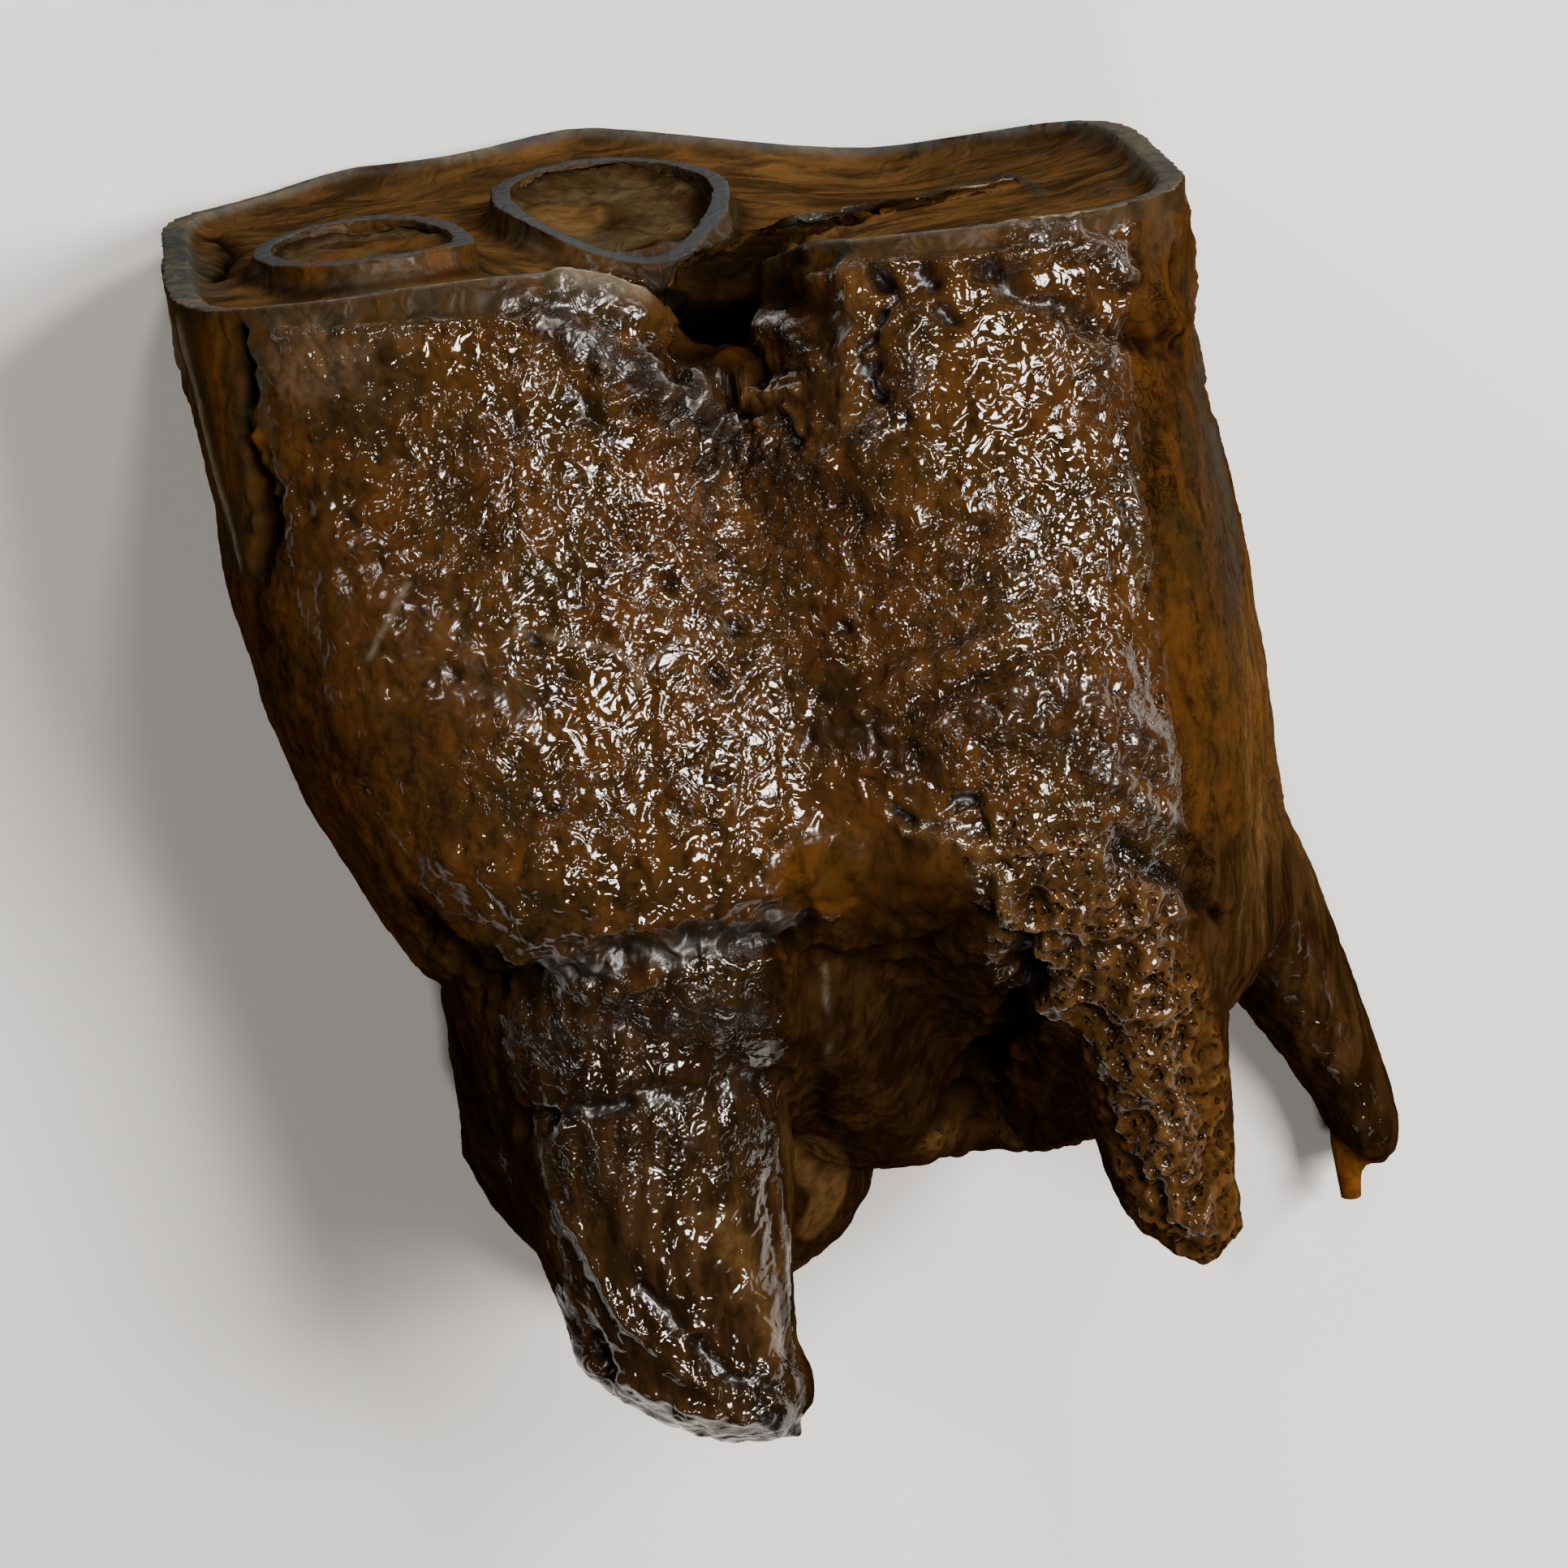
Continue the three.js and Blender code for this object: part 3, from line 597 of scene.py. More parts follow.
    spongyUpper=mark(2.4, 0.2, 0.6, [(10.1, -28.9, 49.9), (13.6, -30.1, 49.5), (16.9, -33.8, 47.5)], spongy=1,
        tan=0.2),
    spongyRoot=mark(4.0, 0, 0.5, [(13.2, -35.4, 47.7), (16, -39.4, 46), (16.8, -44.9, 44.3), (18, -49.3, 43)],
        flat=True, spongy=1, tan=0.15),
    spongyWeb=mark(1.0, 0, 0.4, [(5.6, -45.4, 33.6), (9.3, -45.9, 31.5), (13.3, -46.9, 30.4)], spongy=1,
        tan=0.5),
    # recess between the two palate roots
    recessDome=mark(2.2, 0.7, 0, [(0.8, -30, 48.4), (3.5, -30.8, 48), (6.6, -30.2, 49.3)], smooth=1,
        ochre=0.25),
    domeStep=mark(0.7, -0.6, 0.2, [(-0.1, -33.5, 47.5), (2.8, -34.8, 45.3), (5.6, -34.3, 45.8),
        (8.6, -32.5, 48.6)], soot=0.3),
    recessFloor=mark(3.0, 0, 0, [(1.3, -37.6, 44.8), (4, -39.2, 41), (5.9, -42.1, 36)], smooth=0.9, soot=0.3),
    recessPit=mark(1.1, -1.8, 0.4, [(10.2, -34.6, 47.8), (10.3, -36.9, 45.2), (9.5, -40, 39.6),
        (8.2, -42.1, 34.9)], soot=1),
    recessPitLow=mark(0.8, -0.7, 0.4, [(7.5, -43.1, 33.4), (6.1, -44.5, 33.6)], soot=0.7),
    recessScratch=mark(0.14, 0.05, 0, [(1.2, -34.9, 46.2), (0.8, -39.3, 43.8)], pale=0.4),
    forkEdge=mark(0.5, 0.4, 0.2, [(-0.9, -33.9, 47.7), (-0.9, -36.8, 46.3), (-1, -40.4, 43.1),
        (-1.2, -44.2, 35.2)]),
    forkGroove=mark(0.8, -0.6, 0, [(0.5, -34.7, 46.7), (0.2, -39.2, 44.2), (-0.2, -43.9, 36.5)], soot=0.2),
    webTan=mark(1.5, 0, 0.3, [(-0.4, -45.2, 33.3), (0.5, -47.7, 29.3), (-0.5, -49.5, 29.1)], flat=True,
        tan=0.8),
    # back root on the palate side
    neckGroove=mark(1.25, -1.2, 0.5, [(-17.7, -31.2, 45.5), (-15.3, -33.9, 45.9), (-12.8, -33.8, 47.8),
        (-9.6, -33.2, 49.1), (-6.1, -32.8, 49.1), (-2.1, -32.5, 48.4), (0, -32.4, 47.8)], soot=0.9),
    neckShade=mark(1.5, -0.3, 0.4, [(-17.9, -30.1, 46.3), (-16.3, -32.5, 46), (-13.4, -33.9, 47.3)], soot=0.9),
    rootGroove=mark(0.85, -0.75, 0.4, [(-17.8, -45.7, 10.7), (-13.6, -40.6, 45.2), (-10.4, -40.2, 46.7),
        (-6.9, -40.2, 46.6), (-2.6, -40.4, 44)], soot=0.6),
    rootShade=mark(0.8, -0.2, 0.3, [(-15.4, -40.8, 43.2), (-13, -40.4, 45.7)], soot=0.55),
    rootTan=mark(1.4, 0, 1, [(-5.6, -47.1, 45.7), (-3.9, -49.9, 44.6), (-3.4, -52.5, 43.9)], tan=0.6),
    tipPit=mark(0.8, -1.4, 0.2, [(-12.4, -52, 43.5), (-11.7, -53.7, 43.8)], soot=1),
    tipGroove=mark(0.55, -0.65, 0.3, [(-9.6, -49.3, 45.8), (-7.4, -52.1, 45.7), (-5.4, -54.4, 45.3),
        (-3.2, -55.3, 44.2)], soot=0.5),
    tipRidgeA=mark(0.45, 0.45, 0.2, [(-11.1, -54, 44.1), (-7.9, -55.4, 45.1), (-4.6, -56.5, 44.5),
        (-2.8, -57.6, 42)], tan=0.2),
    tipRidgeB=mark(0.4, 0.4, 0.2, [(-11.2, -49.4, 45.1), (-8.8, -52.7, 45.5), (-6.5, -54.9, 45.4)]),
    tipRidgeC=mark(0.4, 0.35, 0.2, [(-12.9, -44.9, 44.9), (-11.7, -48.2, 45.1), (-10.2, -50.9, 45.4)]),
    tipCap=mark(1.0, 0.2, 0.3, [(-4.4, -56.5, 44.4), (-3, -57.7, 42)], soot=0.9, crinkle=1.2),
    splinter=mark(1.6, 0, 0, [(28.4, -53.3, 5.4), (28.4, -56.5, 5.4)], flat=True, ochre=1.2, smooth=1),
    # chewing face
    fillTan=mark(1.9, 0, 0.3, [(-8.4, 2.2, 21.3), (-8.1, 2.4, 20.3)], flat=True, tan=0.9),
    fillOlive=mark(1.6, 0, 0.5, [(-5.8, 1.1, 23.4), (-4.7, 2.1, 20.1)], soot=0.4),
    fillTanSmall=mark(1.0, 0, 0.3, [(-2.7, 1, 22.5), (-2.5, 1.1, 22)], tan=0.6),
    backFillOchre=mark(1.1, 0, 0.4, [(-20.9, 0.8, 37.1), (-18.8, 2, 28.5), (-15.9, 2.1, 27.7),
        (-13.4, 0.6, 38.1)], ochre=1),
    backFillGrey=mark(1.6, 0, 0.5, [(-17.7, 0.5, 39.1), (-15.5, 0.5, 39.2)], pale=0.3),
    backCorner=mark(2.0, 0, 0.4, [(-27.9, 2.9, 20.5), (-26.4, 0.9, 34.1)], teal=1),
    backCrevice=mark(0.8, -0.5, 0.3, [(-27, 3.4, 10.6), (-25.5, 2.7, 18.3), (-25.6, 1.4, 29.6)], soot=1),
    valleyLine=mark(0.4, 0.15, 0, [(3.4, 0.8, 22.2), (5.8, 1.2, 20.1), (8.8, 1.5, 17.8), (12.3, 2, 14.3),
        (14.6, 2.3, 12.8), (15.7, 1.8, 18.4), (16, 1.2, 25.9)], teal=1),
    valleyTan=mark(0.7, 0, 0.2, [(4.4, 0.6, 23), (8.6, 1, 22.4), (12.8, 1.3, 22.5), (15.2, 1.3, 24.4)],
        ochre=0.6),
    frontEnd=mark(1.3, 0, 0.4, [(20.2, 4.2, 8.1), (21.9, 3.5, 13.7), (21.4, 2, 29.9)], teal=0.6, pale=0.3),
    greyKnob=mark(0.7, 0.3, 0, [(18.4, 1.1, 30.2), (19.4, 1, 32.5)], teal=0.6),
)


smallPits = [  # half-width, lift, places, painted shade
    (0.32, -0.5, [(-11.2, -17.2, 49.3), (-11, -17.4, 49.3)], 1),
    (0.38, -0.55, [(-1.6, -17.7, 47.3), (-1.4, -18, 47.4)], 0.8),
    (0.36, -0.5, [(-2.8, -19.8, 48.5), (-2.6, -20.1, 48.5)], 0.8),
    (0.3, -0.4, [(-4.7, -15.4, 48.1), (-4.5, -15.7, 48.1)], 0.6),
    (0.26, -0.35, [(-8.8, -15.9, 48.9), (-8.6, -16, 48.9)], 0.6),
    (0.3, -0.4, [(-15.1, -18.4, 49.4), (-14.9, -18.7, 49.4)], 0.5),
    (0.26, -0.4, [(3.6, -18.3, 48.5), (3.8, -18.5, 48.6)], 0.7),
    (0.4, -0.4, [(-9.8, -19.1, 49.5), (-9.6, -19.4, 49.5)], 0.4),
]
for index, (width, depth, path, soot) in enumerate(smallPits):
    marks[f"smallPit{index}"] = mark(width, depth, 0, path, soot=soot)


def lineShare(points, values):
    # 1 along the line, fading out over its half-width
    line = np.array(values["path"], dtype=float)
    reach = values["width"] * 2.6
    low, high = line.min(axis=0) - reach, line.max(axis=0) + reach
    near = np.flatnonzero(((points > low) & (points < high)).all(axis=1))
    places = points[near]
    distance = np.full(len(near), 1e9)
    for start, end in zip(line[:-1], line[1:]):
        run = end - start
        along = np.clip((places - start) @ run / max(run @ run, 1e-9), 0, 1)
        distance = np.minimum(distance, np.linalg.norm(places - start - along[:, None] * run, axis=1))
    if values["flat"]:
        return near, ease(1.25, 0.85, distance / values["width"])
    fray = frayed[near] if values["ragged"] else 1.0
    return near, bell(distance, values["width"] * fray)


# the darkest stain is painted shade in cracks, pits, grooves and hollows, and a real dark colour on a few
# fillings
stains = {name: np.zeros(len(points)) for name in
          ("soot", "pale", "tan", "ochre", "teal", "crinkle", "smooth", "spongy")}
lift = np.zeros(len(points))
for values in marks.values():
    near, share = lineShare(points + wander * values["ragged"], values)
    lift[near] += values["lift"] * share * uneven[near]
    for stain, strength in values["paint"].items():
        stains[stain][near] = np.maximum(stains[stain][near], strength * share)

# weathering on the front and back sides: grey-green enamel and tan root plate in front, rusty patches behind;
# the pale band high on both sides is a painted highlight
x, y, z = points.T
front = ease(0.35, 0.75, smoothNormals[:, 0]) * ease(16, 20, x) * (1 - face)
back = ease(0.35, 0.75, -smoothNormals[:, 0]) * ease(-14, -18, x) * (1 - face)
ragged = waves(points, 7.0, 35) + 0.6 * waves(points, 2.8, 36) + 0.3 * waves(points, 1.0, 37)
patchy = ease(-0.5, 0.45, crumple(points * np.array([1, 0.7, 1]), 4.5, 38))
rusty = ease(0.1, 0.7, crumple(points * np.array([1, 0.5, 1]), 5.0, 39))
for stain, share in {
    "teal": 0.85 * front * patchy * ease(-3, -8, y + 5 * ragged) * ease(-26, -18, y + 5 * ragged),
    "tan": 0.8 * front * (1 - 0.6 * patchy) * ease(-17, -25, y + 5 * ragged) * ease(-38, -31, y + 4 * ragged),
    # painted highlight: a pale band high on both sides
    "pale": 0.4 * (front + back) * ease(-7, -2, y + 3 * ragged) * ease(0.0, 0.6, ragged),
    "ochre": 0.55 * (front + back) * rusty * ease(-32, -27, y),
}.items():
    stains[stain] = np.maximum(stains[stain], share * ease(46, 34, z))
tell(f"{len(marks)} marks laid out")

texture = {  # how deep each kind of relief goes and how wide it is, in millimetres
    "swells": (0.30, 7.0),
    "lumps": (0.14, 2.6),
    "wideFolds": (0.14, 2.2),
    "narrowFolds": (0.10, 1.1),
    "dents": (0.045, 0.85),
    "pocks": (0.28, 2.4),
    "rootLumps": (0.16, 2.4),
    "rootGrain": (0.10, 0.8),
    "rootDents": (0.05, 0.6),
    "spongyLumps": (0.42, 2.2),
    "spongyGrain": (0.16, 0.8),
    "faceGrain": (0.06, 2.0),
    "sideLumps": (0.16, 3.0),
    "sideCracks": (0.10, 4.0),
    "sideLines": (0.04, 1.0),
}
coat = 0.30  # how far the cement stands out
spongyHoles = {"depth": 0.7, "wide": 1.5, "narrow": 0.75}
faceDish = 0.35  # how deep the worn dentine is dished between its rims


def wavy(name, points, seed):
    depth, size = texture[name]
    return depth * waves(points, size, seed)


def lumpy(name, points, seed, layers=3):
    depth, size = texture[name]
    return depth * crumple(points, size, seed, layers)


def creased(name, points, seed, low):
    # thin grooves where the noise turns over
    depth, size = texture[name]
    return -depth * ease(low, 1.0, 1 - np.abs(waves(points, size, seed)))


calm = (1 - 0.85 * stains["smooth"].clip(0, 1)) * (1 - filling)
rough = 0.55 + 0.45 * stains["crinkle"].clip(0, 1)
spongy = stains["spongy"].clip(0, 1)
swells = wavy("swells", points, 41)
lumps = lumpy("lumps", warped, 42, 2)
folds = creased("wideFolds", warped, 43, 0.80) + creased("narrowFolds", warped, 46, 0.75)
folds += wavy("dents", warped, 44)
pockDepth, pockSpacing = texture["pocks"]
pocks = -pockDepth * pits(points, pockSpacing, 45, 0.45, 0.13)
sheet = ease(0.85, 1.15, stains["crinkle"])  # crust with a smooth, wet skin
crumples = rough * ((1 - 0.4 * sheet) * lumps + (1 - 0.7 * sheet) * folds)
lift += cement * calm * (coat + swells + crumples + (1 - sheet) * pocks)

grainWay = points * np.array([1, 0.4, 1])  # the root's surface runs along it
rootRelief = lumpy("rootLumps", grainWay, 51) + wavy("rootGrain", grainWay, 52)
rootRelief += wavy("rootDents", warped, 56)
lift += root * calm * (1 - spongy) * rootRelief
holes = pits(warped * np.array([1, 0.7, 1]), spongyHoles["wide"], 53, 0.6, 0.34)
holes += 0.6 * pits(warped, spongyHoles["narrow"], 54, 0.6, 0.34)
spongyRelief = lumpy("spongyLumps", warped, 55) + wavy("spongyGrain", warped, 57)
lift += spongy * (spongyRelief - spongyHoles["depth"] * holes.clip(0, 1.2))
nearRims = evenedOut(rims, edges, 30)
dished = faceDish * (1 - nearRims / nearRims.max()) ** 2
faceRelief = lumpy("faceGrain", points * np.array([0.6, 1, 1]), 61) - dished
lift += face * (1 - rims) * (1 - filling) * faceRelief
growthWay = np.array([1, 0.3, 1])  # bare enamel and dentine run towards the crown
bareRelief = lumpy("sideLumps", points * growthWay, 62, 2) + creased("sideCracks", warped * growthWay, 64, 0.93)
bareRelief += wavy("sideLines", points * np.array([0.4, 2.2, 0.4]), 63)
lift += (1 - cement) * (1 - root) * (1 - face) * (1 - filling) * bareRelief

points = points + smoothNormals * lift[:, None]
points[:, 2] = np.maximum(points[:, 2], 0)
writePoints(tooth, points)
tell("surface carved")

# masks for the materials

def saveMask(thing, name, values):
    layer = thing.data.attributes.new(name, "FLOAT", "POINT")
    layer.data.foreach_set("value", np.asarray(values, dtype=np.float32))


normals = readNormals(tooth)
average = evenedOut(points, edges, 14)
proud = ((points - average) * normals).sum(axis=1)
halo = evenedOut(rings, edges, 40) * 2.2 * (1 - rings)
turned = evenedOut(normals[:, 1], edges, 2)
x, y, z = points.T
# the rim's sharp edge, facing up the crown: pale enamel with a painted highlight along it
paleEdgeAndHighlight = turned * evenedOut(isNode["enamel_band"], edges, 1) * (1 - cement)
paleEdgeAndHighlight *= ease(-2.0, -1.2, y - faceHeight(z)) * ease(0.03, 0.10, proud)
awayFromNotch = 1 - closeTo(points, (1.8, -2.5, 42.0), 3.2)
ringTop = rings * ease(0.55, 0.85, turned) * (1 - filling)

# how much each place shines: 1 where varnish and damp lie thick, 0 on the worn face and in sheltered hollows; on
# the flanks the shine also falls as the surface turns from the key light, a sheen set by where the light falls
film = {
    "faces": (0.216, 0.074, 0.974),  # halfway between the camera and the key light; places facing this way keep the wettest skin
    "bareTissue": 0.4,
    "spongyLoss": 0.34,
    "lowRoots": 0.62,
    "steps": (0.75, 0.5, 0.25),  # below each of these the next duller skin is used
}
upward = smoothNormals[:, 2]
flank = np.maximum(ease(-10, -15, x), ease(45, 40, z))
shine = 1 - flank * (1 - ease(0.50, 0.92, smoothNormals @ np.array(film["faces"])))
shine *= 1 - ease(16.0, 19.5, x) * ease(0.93, 0.68, upward)
bareTissue = (1 - cement) * (1 - root) * (1 - face)
dulled = np.minimum(shine, 1 - (1 - film["bareTissue"]) * bareTissue)
shine = np.where(stains["crinkle"] < 0.3, dulled, shine)
shine *= 1 - film["spongyLoss"] * spongy * ease(-29, -33, y)
lowRoot = root * ease(26, 16, z) * ease(-31, -34, y)
shine += lowRoot * (film["lowRoots"] * ease(0.60, 0.92, upward) - shine)
shine *= 1 - ease(0.3, 0.7, stains["smooth"])
shine *= 1 - closeTo(points, (2.8, -2.4, 43.5), 2.8) * ease(0.8, 0.4, stains["crinkle"])  # the notch
shine *= 1 - packed * ease(0.8, 0.5, stains["crinkle"])
shine *= 1 - root * ease(10, 6, np.abs(x - 6)) * ease(-30.5, -34, y) * ease(46.5, 42.5, z)  # between the roots
shine *= 1 - root * ease(6.5, 4.5, np.abs(x - 3.8)) * ease(-30.5, -32.5, y)
shine += 0.16 * waves(points, 1.6, 71) + 0.08 * waves(points, 0.6, 72)
gloss = 1 + sum((shine < step).astype(int) for step in film["steps"])
gloss[face > 0.5] = 1 + len(film["steps"])
masks = {
    "cement": cement,
    "root": root,
    "face": face * (1 - rims * (1 - filling)),
    "rimTop": face * rims * (1 - rings) * awayFromNotch,
    "paleEdgeAndHighlight": paleEdgeAndHighlight * awayFromNotch,
    "ring": ringTop,
    "halo": halo * face,
    # concave places, painted darker as shade in the material
    "hollowShade": ease(0.02, 0.24, -proud),
    # convex places, painted lighter as a highlight in the material
    "crest": ease(0.02, 0.22, proud),
    "filling": filling,
    "packed": packed,
    "gloss": gloss,
    **stains,
}
for name, values in masks.items():
    saveMask(tooth, name, values)
maskNames = list(masks)
tell("masks saved")


# materials: colours are linear, sizes in millimetres

tones = {
    "umber": (0.0060, 0.0026, 0.0009),
    "cementBrown": (0.0290, 0.0112, 0.0028),
    "cementOrange": (0.0520, 0.0200, 0.0042),
    "olive": (0.0200, 0.0110, 0.0030),
    "dentineDark": (0.0250, 0.0140, 0.0055),
    "dentineOrange": (0.1150, 0.0560, 0.0170),
    "enamelDark": (0.0170, 0.0125, 0.0065),
    "enamelBrown": (0.0400, 0.0180, 0.0040),
    "enamelEdge": (0.0850, 0.0720, 0.0500),
    "enamelPale": (0.170, 0.140, 0.100),
    "rootDark": (0.0100, 0.0042, 0.0011),
    "rootTan": (0.0430, 0.0210, 0.0070),
    # near black: painted shade in cracks, pits and hollows, and a few real dark stains
    "soot": (0.0012, 0.0010, 0.0008),
    "pale": (0.160, 0.130, 0.090),
    "tan": (0.0950, 0.0490, 0.0160),
    "ochre": (0.0850, 0.0300, 0.0050),
    "teal": (0.0210, 0.0260, 0.0230),
    "ringBlue": (0.0380, 0.0420, 0.0450),
    "fillOlive": (0.0540, 0.0390, 0.0190),
}
wear = {
    "wetRoughness": 0.045,
    "dryRoughness": 0.42,
    "sootRoughness": 0.5,
    "grit": 0.008,
    "ripple": 0.20,  # mm, the film's fine waves
    "cracks": 0.07,
    "holes": 0.26,
    "blotches": 0.03,  # added roughness
    "roots": 0.02,
    "crust": 0.26,
}


def addNode(tree, kind, sockets=None, **settings):
    node = tree.nodes.new(kind)
    for name, value in settings.items():
        setattr(node, name, value)
    for name, value in (sockets or {}).items():
        socket = node.inputs[name]
        if isinstance(value, bpy.types.NodeSocket):
            tree.links.new(value, socket)
        else:
            socket.default_value = value
    return node


def maths(tree, operation, first, second=0.0, third=0.0, clamp=False):
    sockets = {0: first, 1: second, 2: third}
    return addNode(tree, "ShaderNodeMath", sockets, operation=operation, use_clamp=clamp).outputs[0]


def between(tree, value, low, high):
    # smooth 0 to 1 as the value goes from low to high
    node = addNode(tree, "ShaderNodeMapRange", {"Value": value, "From Min": low, "From Max": high},
                   interpolation_type="SMOOTHSTEP")
    return node.outputs["Result"]


def mixColor(tree, share, first, second):
    node = addNode(tree, "ShaderNodeMix", data_type="RGBA")
    for index, value in ((0, share), (6, first), (7, second)):
        if isinstance(value, bpy.types.NodeSocket):
            tree.links.new(value, node.inputs[index])
        else:
            node.inputs[index].default_value = value if index == 0 else (*value, 1)
    return node.outputs[2]


def grain(tree, place, size, detail=2.0, roughness=0.6, distortion=0.0, stretch=None):
    if stretch:
        place = addNode(tree, "ShaderNodeVectorMath", {0: place, 1: stretch}, operation="MULTIPLY").outputs[0]
    node = addNode(tree, "ShaderNodeTexNoise", {"Vector": place, "Scale": 1 / size, "Detail": detail,
                                                "Roughness": roughness, "Distortion": distortion})
    return node.outputs["Fac"]


def newGroup(name, inputs, outputs):
    group = bpy.data.node_groups.new(name, "ShaderNodeTree")
    for label, kind in inputs.items():
        group.interface.new_socket(label, in_out="INPUT", socket_type="NodeSocket" + kind)
    for label, kind in outputs.items():
        group.interface.new_socket(label, in_out="OUTPUT", socket_type="NodeSocket" + kind)
    return group, group.nodes.new("NodeGroupInput").outputs, group.nodes.new("NodeGroupOutput").inputs


def mottleGroup():
    # the blotches and streaks that every tissue's colour is built from
    kinds = {  # size in millimetres, detail, roughness, distortion, stretch; then where 0 and 1 lie
        "Broad": ((8.0, 2, 0.65), (0.36, 0.64)),
        "Middle": ((2.8, 3, 0.7, 0.5), (0.36, 0.64)),
        "Fine": ((0.7, 2, 0.7), (0.34, 0.66)),
        "Across": ((2.2, 3, 0.6, 0.8, (0.45, 1, 1)), (0.33, 0.67)),
        "Along": ((1.0, 3, 0.65, 0.3, (1, 0.25, 1)), (0.38, 0.66)),
    }
    tree, given, out = newGroup("mottle", {"Place": "Vector"}, dict.fromkeys(kinds, "Float"))
    for label, (look, ends) in kinds.items():
        tree.links.new(between(tree, grain(tree, given["Place"], *look), *ends), out[label])
    return tree


def reliefGroup():
    # the finest relief, too small for the carved surface: film ripples, cracks and pores
    tree, given, out = newGroup(
        "relief", {"Place": "Vector", "Crinkle": "Float", "Spongy": "Float", "Smooth": "Float"},
        {"Height": "Float", "Cracks": "Float", "Pores": "Float"})
    place = given["Place"]
    ripple = addNode(tree, "ShaderNodeTexNoise", {"Vector": place, "Scale": 0.85, "Detail": 1.0,
                                                  "Roughness": 0.4, "Distortion": 1.2})
    bent = addNode(tree, "ShaderNodeVectorMath", {0: ripple.outputs["Color"], 1: (0.55, 0.55, 0.55), 2: place},
                   operation="MULTIPLY_ADD").outputs[0]
    bank = maths(tree, "ABSOLUTE", maths(tree, "SUBTRACT", grain(tree, place, 0.8, 1.5, 0.6, 1.1), 0.5))
    lines = between(tree, bank, 0.035, 0.0)
    cracks = maths(tree, "MULTIPLY", lines, given["Crinkle"])
    dots = addNode(tree, "ShaderNodeTexVoronoi", {"Vector": bent, "Scale": 1.9})
    pores = maths(tree, "MULTIPLY", between(tree, dots.outputs["Distance"], 0.40, 0.10), given["Spongy"])
    even = maths(tree, "MULTIPLY_ADD", given["Smooth"], -0.8, 1.0)
    height = maths(tree, "MULTIPLY", ripple.outputs["Fac"], maths(tree, "MULTIPLY", even, wear["ripple"]))
    grit = grain(tree, place, 0.34, 1.0, 0.5)
    height = maths(tree, "MULTIPLY_ADD", grit, maths(tree, "MULTIPLY", even, wear["grit"]), height)
    height = maths(tree, "MULTIPLY_ADD", cracks, -wear["cracks"], height)
    tree.links.new(maths(tree, "MULTIPLY_ADD", pores, -wear["holes"], height), out["Height"])
    tree.links.new(cracks, out["Cracks"])
    tree.links.new(pores, out["Pores"])
    return tree


mottle, relief = mottleGroup(), reliefGroup()


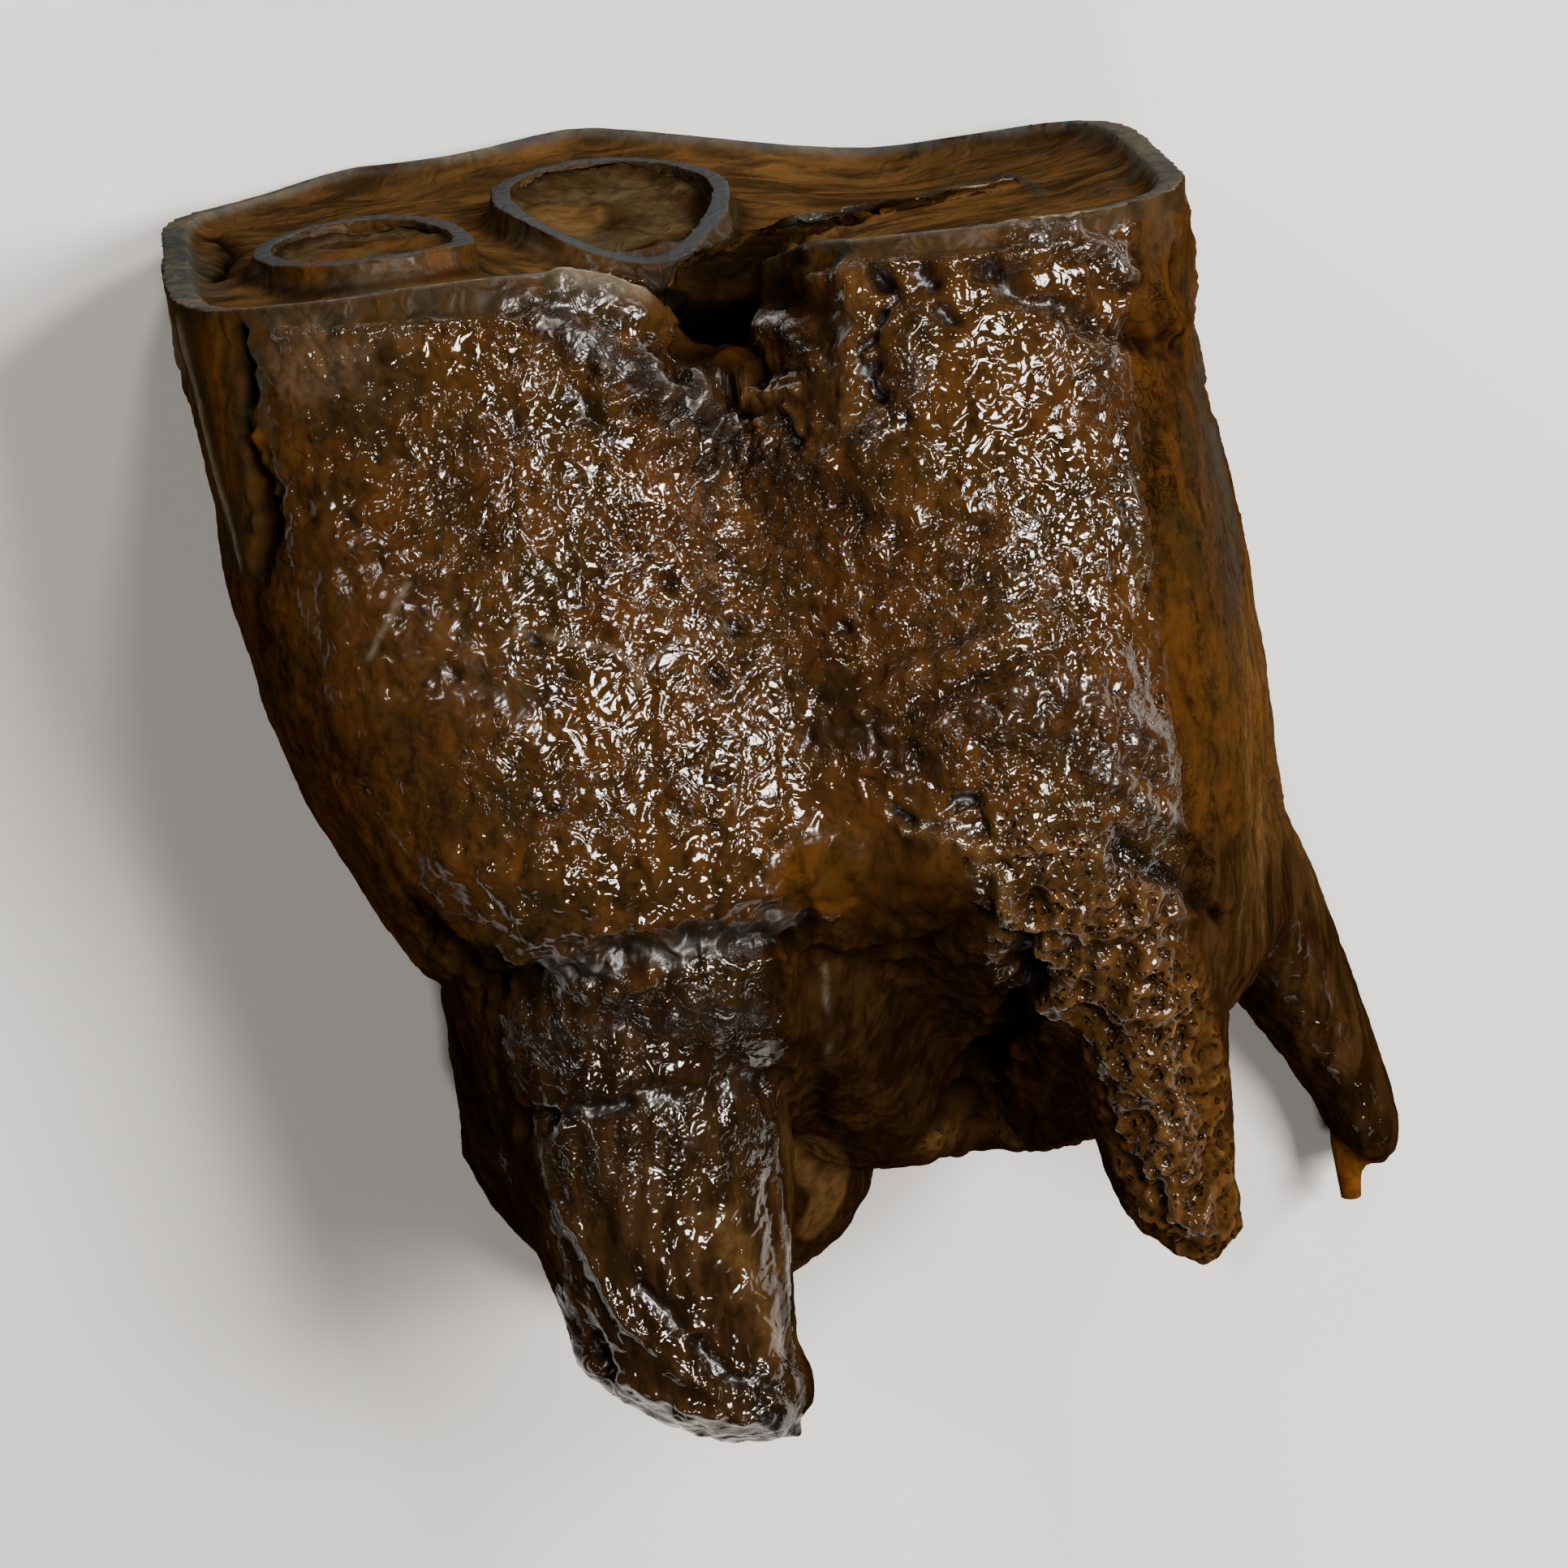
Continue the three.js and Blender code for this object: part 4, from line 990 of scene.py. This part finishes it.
def toothMaterial(name, specular):
    material = bpy.data.materials.new(name)
    material.use_nodes = True
    tree = material.node_tree
    shader = tree.nodes["Principled BSDF"]
    mask = {label: addNode(tree, "ShaderNodeAttribute", attribute_name=label).outputs["Fac"]
            for label in maskNames if label != "gloss"}
    where = addNode(tree, "ShaderNodeTexCoord").outputs["Object"]
    place = addNode(tree, "ShaderNodeVectorMath", {0: where, "Scale": 1 / mm}, operation="SCALE").outputs[0]
    blotch = addNode(tree, "ShaderNodeGroup", node_tree=mottle)
    fine = addNode(tree, "ShaderNodeGroup", node_tree=relief)
    tree.links.new(place, blotch.inputs["Place"])
    tree.links.new(place, fine.inputs["Place"])
    for label in ("Crinkle", "Spongy", "Smooth"):
        tree.links.new(mask[label.lower()], fine.inputs[label])
    blotch, fine = blotch.outputs, fine.outputs

    def times(first, second, clamp=False):
        return maths(tree, "MULTIPLY", first, second, clamp=clamp)

    def mix(share, *colors):
        # two colours, each a tone by name or one already mixed
        return mixColor(tree, share, *(tones[color] if isinstance(color, str) else color for color in colors))

    def layered(color, *layers):
        # each layer is a mask, how strong it is and its colour
        for share, amount, tone in layers:
            color = mix(times(share, amount, clamp=True), color, tone)
        return color

    edge = mix(blotch["Middle"], "ringBlue", "enamelEdge")
    # thin pale line on the rim's sharp edge: pale enamel with a painted highlight
    line = times(between(tree, mask["paleEdgeAndHighlight"], 0.58, 0.68), between(tree, mask["paleEdgeAndHighlight"], 0.90, 0.82))
    enamel = layered(mix(blotch["Middle"], "enamelBrown", "enamelDark"), (blotch["Along"], 0.4, "olive"),
                     (mask["rimTop"], 0.85, edge), (line, 0.9, "enamelPale"))
    dentine = layered("dentineDark", (blotch["Across"], 0.8, "dentineOrange"),
                      (blotch["Broad"], 0.45, "dentineDark"))
    cement = layered(mix(blotch["Broad"], "cementBrown", "olive"), (blotch["Middle"], 0.75, "cementOrange"),
                     (times(blotch["Along"], blotch["Fine"]), 0.8, "umber"))
    sponge = mix(blotch["Fine"], "umber", "cementOrange")
    root = layered("rootDark", (blotch["Along"], 0.55, "rootTan"), (blotch["Broad"], 0.6, "umber"),
                   (mask["spongy"], 0.75, sponge))
    # crests of the spongy root painted lighter tan: tan grains with a painted highlight
    root = mix(times(mask["crest"], times(mask["spongy"], 0.7, clamp=True)), root, "tan")
    # pores painted dark: painted shade in the holes
    root = layered(root, (fine["Pores"], 0.8, "umber"))

    color = enamel
    for share, tissue in ((mask["face"], dentine), (mask["cement"], cement), (mask["root"], root)):
        color = mix(share, color, tissue)
    # the enamel ring's crests painted pale: a painted highlight on the grey-blue enamel
    ring = mix(times(blotch["Middle"], mask["crest"]), "ringBlue", "enamelPale")
    # the packed valley painted near black: painted shade of the open valley's depth
    color = layered(color, (mask["packed"], 0.9, mix(blotch["Middle"], "umber", "soot")),
                    (mask["filling"], 0.9, mix(blotch["Middle"], "fillOlive", "dentineDark")),
                    (mask["ring"], 0.9, ring))
    for label, strength in (("tan", 0.8), ("ochre", 0.8), ("teal", 0.85), ("pale", 0.9)):
        color = layered(color, (mask[label], maths(tree, "MULTIPLY_ADD", blotch["Fine"], -0.4, strength), label))
    # the crust keeps its own dark colour; crests are painted lighter as a highlight, and hollows, crack lines
    # and the shade mask are painted dark as shade
    crusty = maths(tree, "MULTIPLY_ADD", mask["crinkle"], 1.6, -1.0, clamp=True)
    shade = maths(tree, "MAXIMUM", mask["soot"], times(mask["halo"], 0.85, clamp=True), clamp=True)
    color = layered(color, (crusty, 0.75, "umber"), (mask["crest"], 0.22, "cementOrange"),
                    (mask["hollowShade"], 0.7, "umber"), (fine["Cracks"], 0.7, "soot"), (shade, 0.95, "soot"))
    tree.links.new(color, shader.inputs["Base Color"])

    def towards(share, first, second):
        return addNode(tree, "ShaderNodeMix", {0: share, 2: first, 3: second}, data_type="FLOAT").outputs[0]

    wet = wear["wetRoughness"]
    for share, amount in ((blotch["Middle"], "blotches"), (mask["root"], "roots"), (crusty, "crust")):
        wet = maths(tree, "MULTIPLY_ADD", share, wear[amount], wet)
    bare = maths(tree, "MULTIPLY_ADD", mask["root"], -1.0, 1.0)
    bare = maths(tree, "MULTIPLY_ADD", mask["cement"], -1.0, bare)
    dull = maths(tree, "MAXIMUM", mask["smooth"], bare, clamp=True)
    dull = maths(tree, "SUBTRACT", dull, mask["crinkle"], clamp=True)
    sooty = maths(tree, "SUBTRACT", mask["soot"], mask["crinkle"], clamp=True)
    roughness = towards(sooty, towards(dull, wet, wear["dryRoughness"]), wear["sootRoughness"])
    tree.links.new(roughness, shader.inputs["Roughness"])
    bump = addNode(tree, "ShaderNodeBump", {"Strength": 1.0, "Distance": mm, "Height": fine["Height"]})
    tree.links.new(bump.outputs["Normal"], shader.inputs["Normal"])
    shader.inputs["IOR"].default_value = 1.52
    shader.inputs["Specular IOR Level"].default_value = specular
    return material


# four skins, from wet to worn: a specular level can't follow a mask, so each face takes the skin of its gloss
skins = {"wetTooth": 0.5, "dampTooth": 0.2, "satinTooth": 0.06, "wornTooth": 0.0}
skins = [toothMaterial(name, specular) for name, specular in skins.items()]
tell("materials made")

# parting into the named pieces


def part(thing, names, owner):
    data = thing.data
    smooth = readNormals(thing)
    corner = readAll(data.loops, "vertex_index", 1, np.int64)
    faceOwner = owner[corner[readAll(data.polygons, "loop_start", 1, np.int64)]]
    places = readAll(data.vertices, "co", 3)
    assert (readAll(data.polygons, "loop_total", 1, np.int64) == 4).all()
    quads = corner.reshape(-1, 4)
    masks = {label: readAll(data.attributes[label].data, "value", 1, np.float32) for label in maskNames}
    made = {}
    for index, name in enumerate(names):
        mine = quads[faceOwner == index]
        used, local = np.unique(mine, return_inverse=True)
        shell = bpy.data.meshes.new(name + "Surface")
        shell.from_pydata(places[used].tolist(), [], local.reshape(-1, 4).tolist())
        shell.polygons.foreach_set("use_smooth", [True] * len(mine))
        for label, values in masks.items():
            layer = shell.attributes.new(label, "FLOAT", "POINT")
            layer.data.foreach_set("value", values[used])
        for material in skins:
            shell.materials.append(material)
        kind = np.rint(masks["gloss"][mine].mean(axis=1) - 1)
        shell.polygons.foreach_set("material_index", kind.astype(np.int32))
        shell.normals_split_custom_set_from_vertices(smooth[used].tolist())
        piece = bpy.data.objects.new(name + "Surface", shell)
        bpy.context.collection.objects.link(piece)
        made[name] = piece
    bpy.data.objects.remove(thing)
    return made


pieces = part(tooth, nodeNames, nodeOf)
for name, piece in pieces.items():
    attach(piece, "root")
    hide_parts(name)
    print("   ", name, sum(len(p.vertices) - 2 for p in piece.data.polygons), "triangles")
tell("named pieces made")
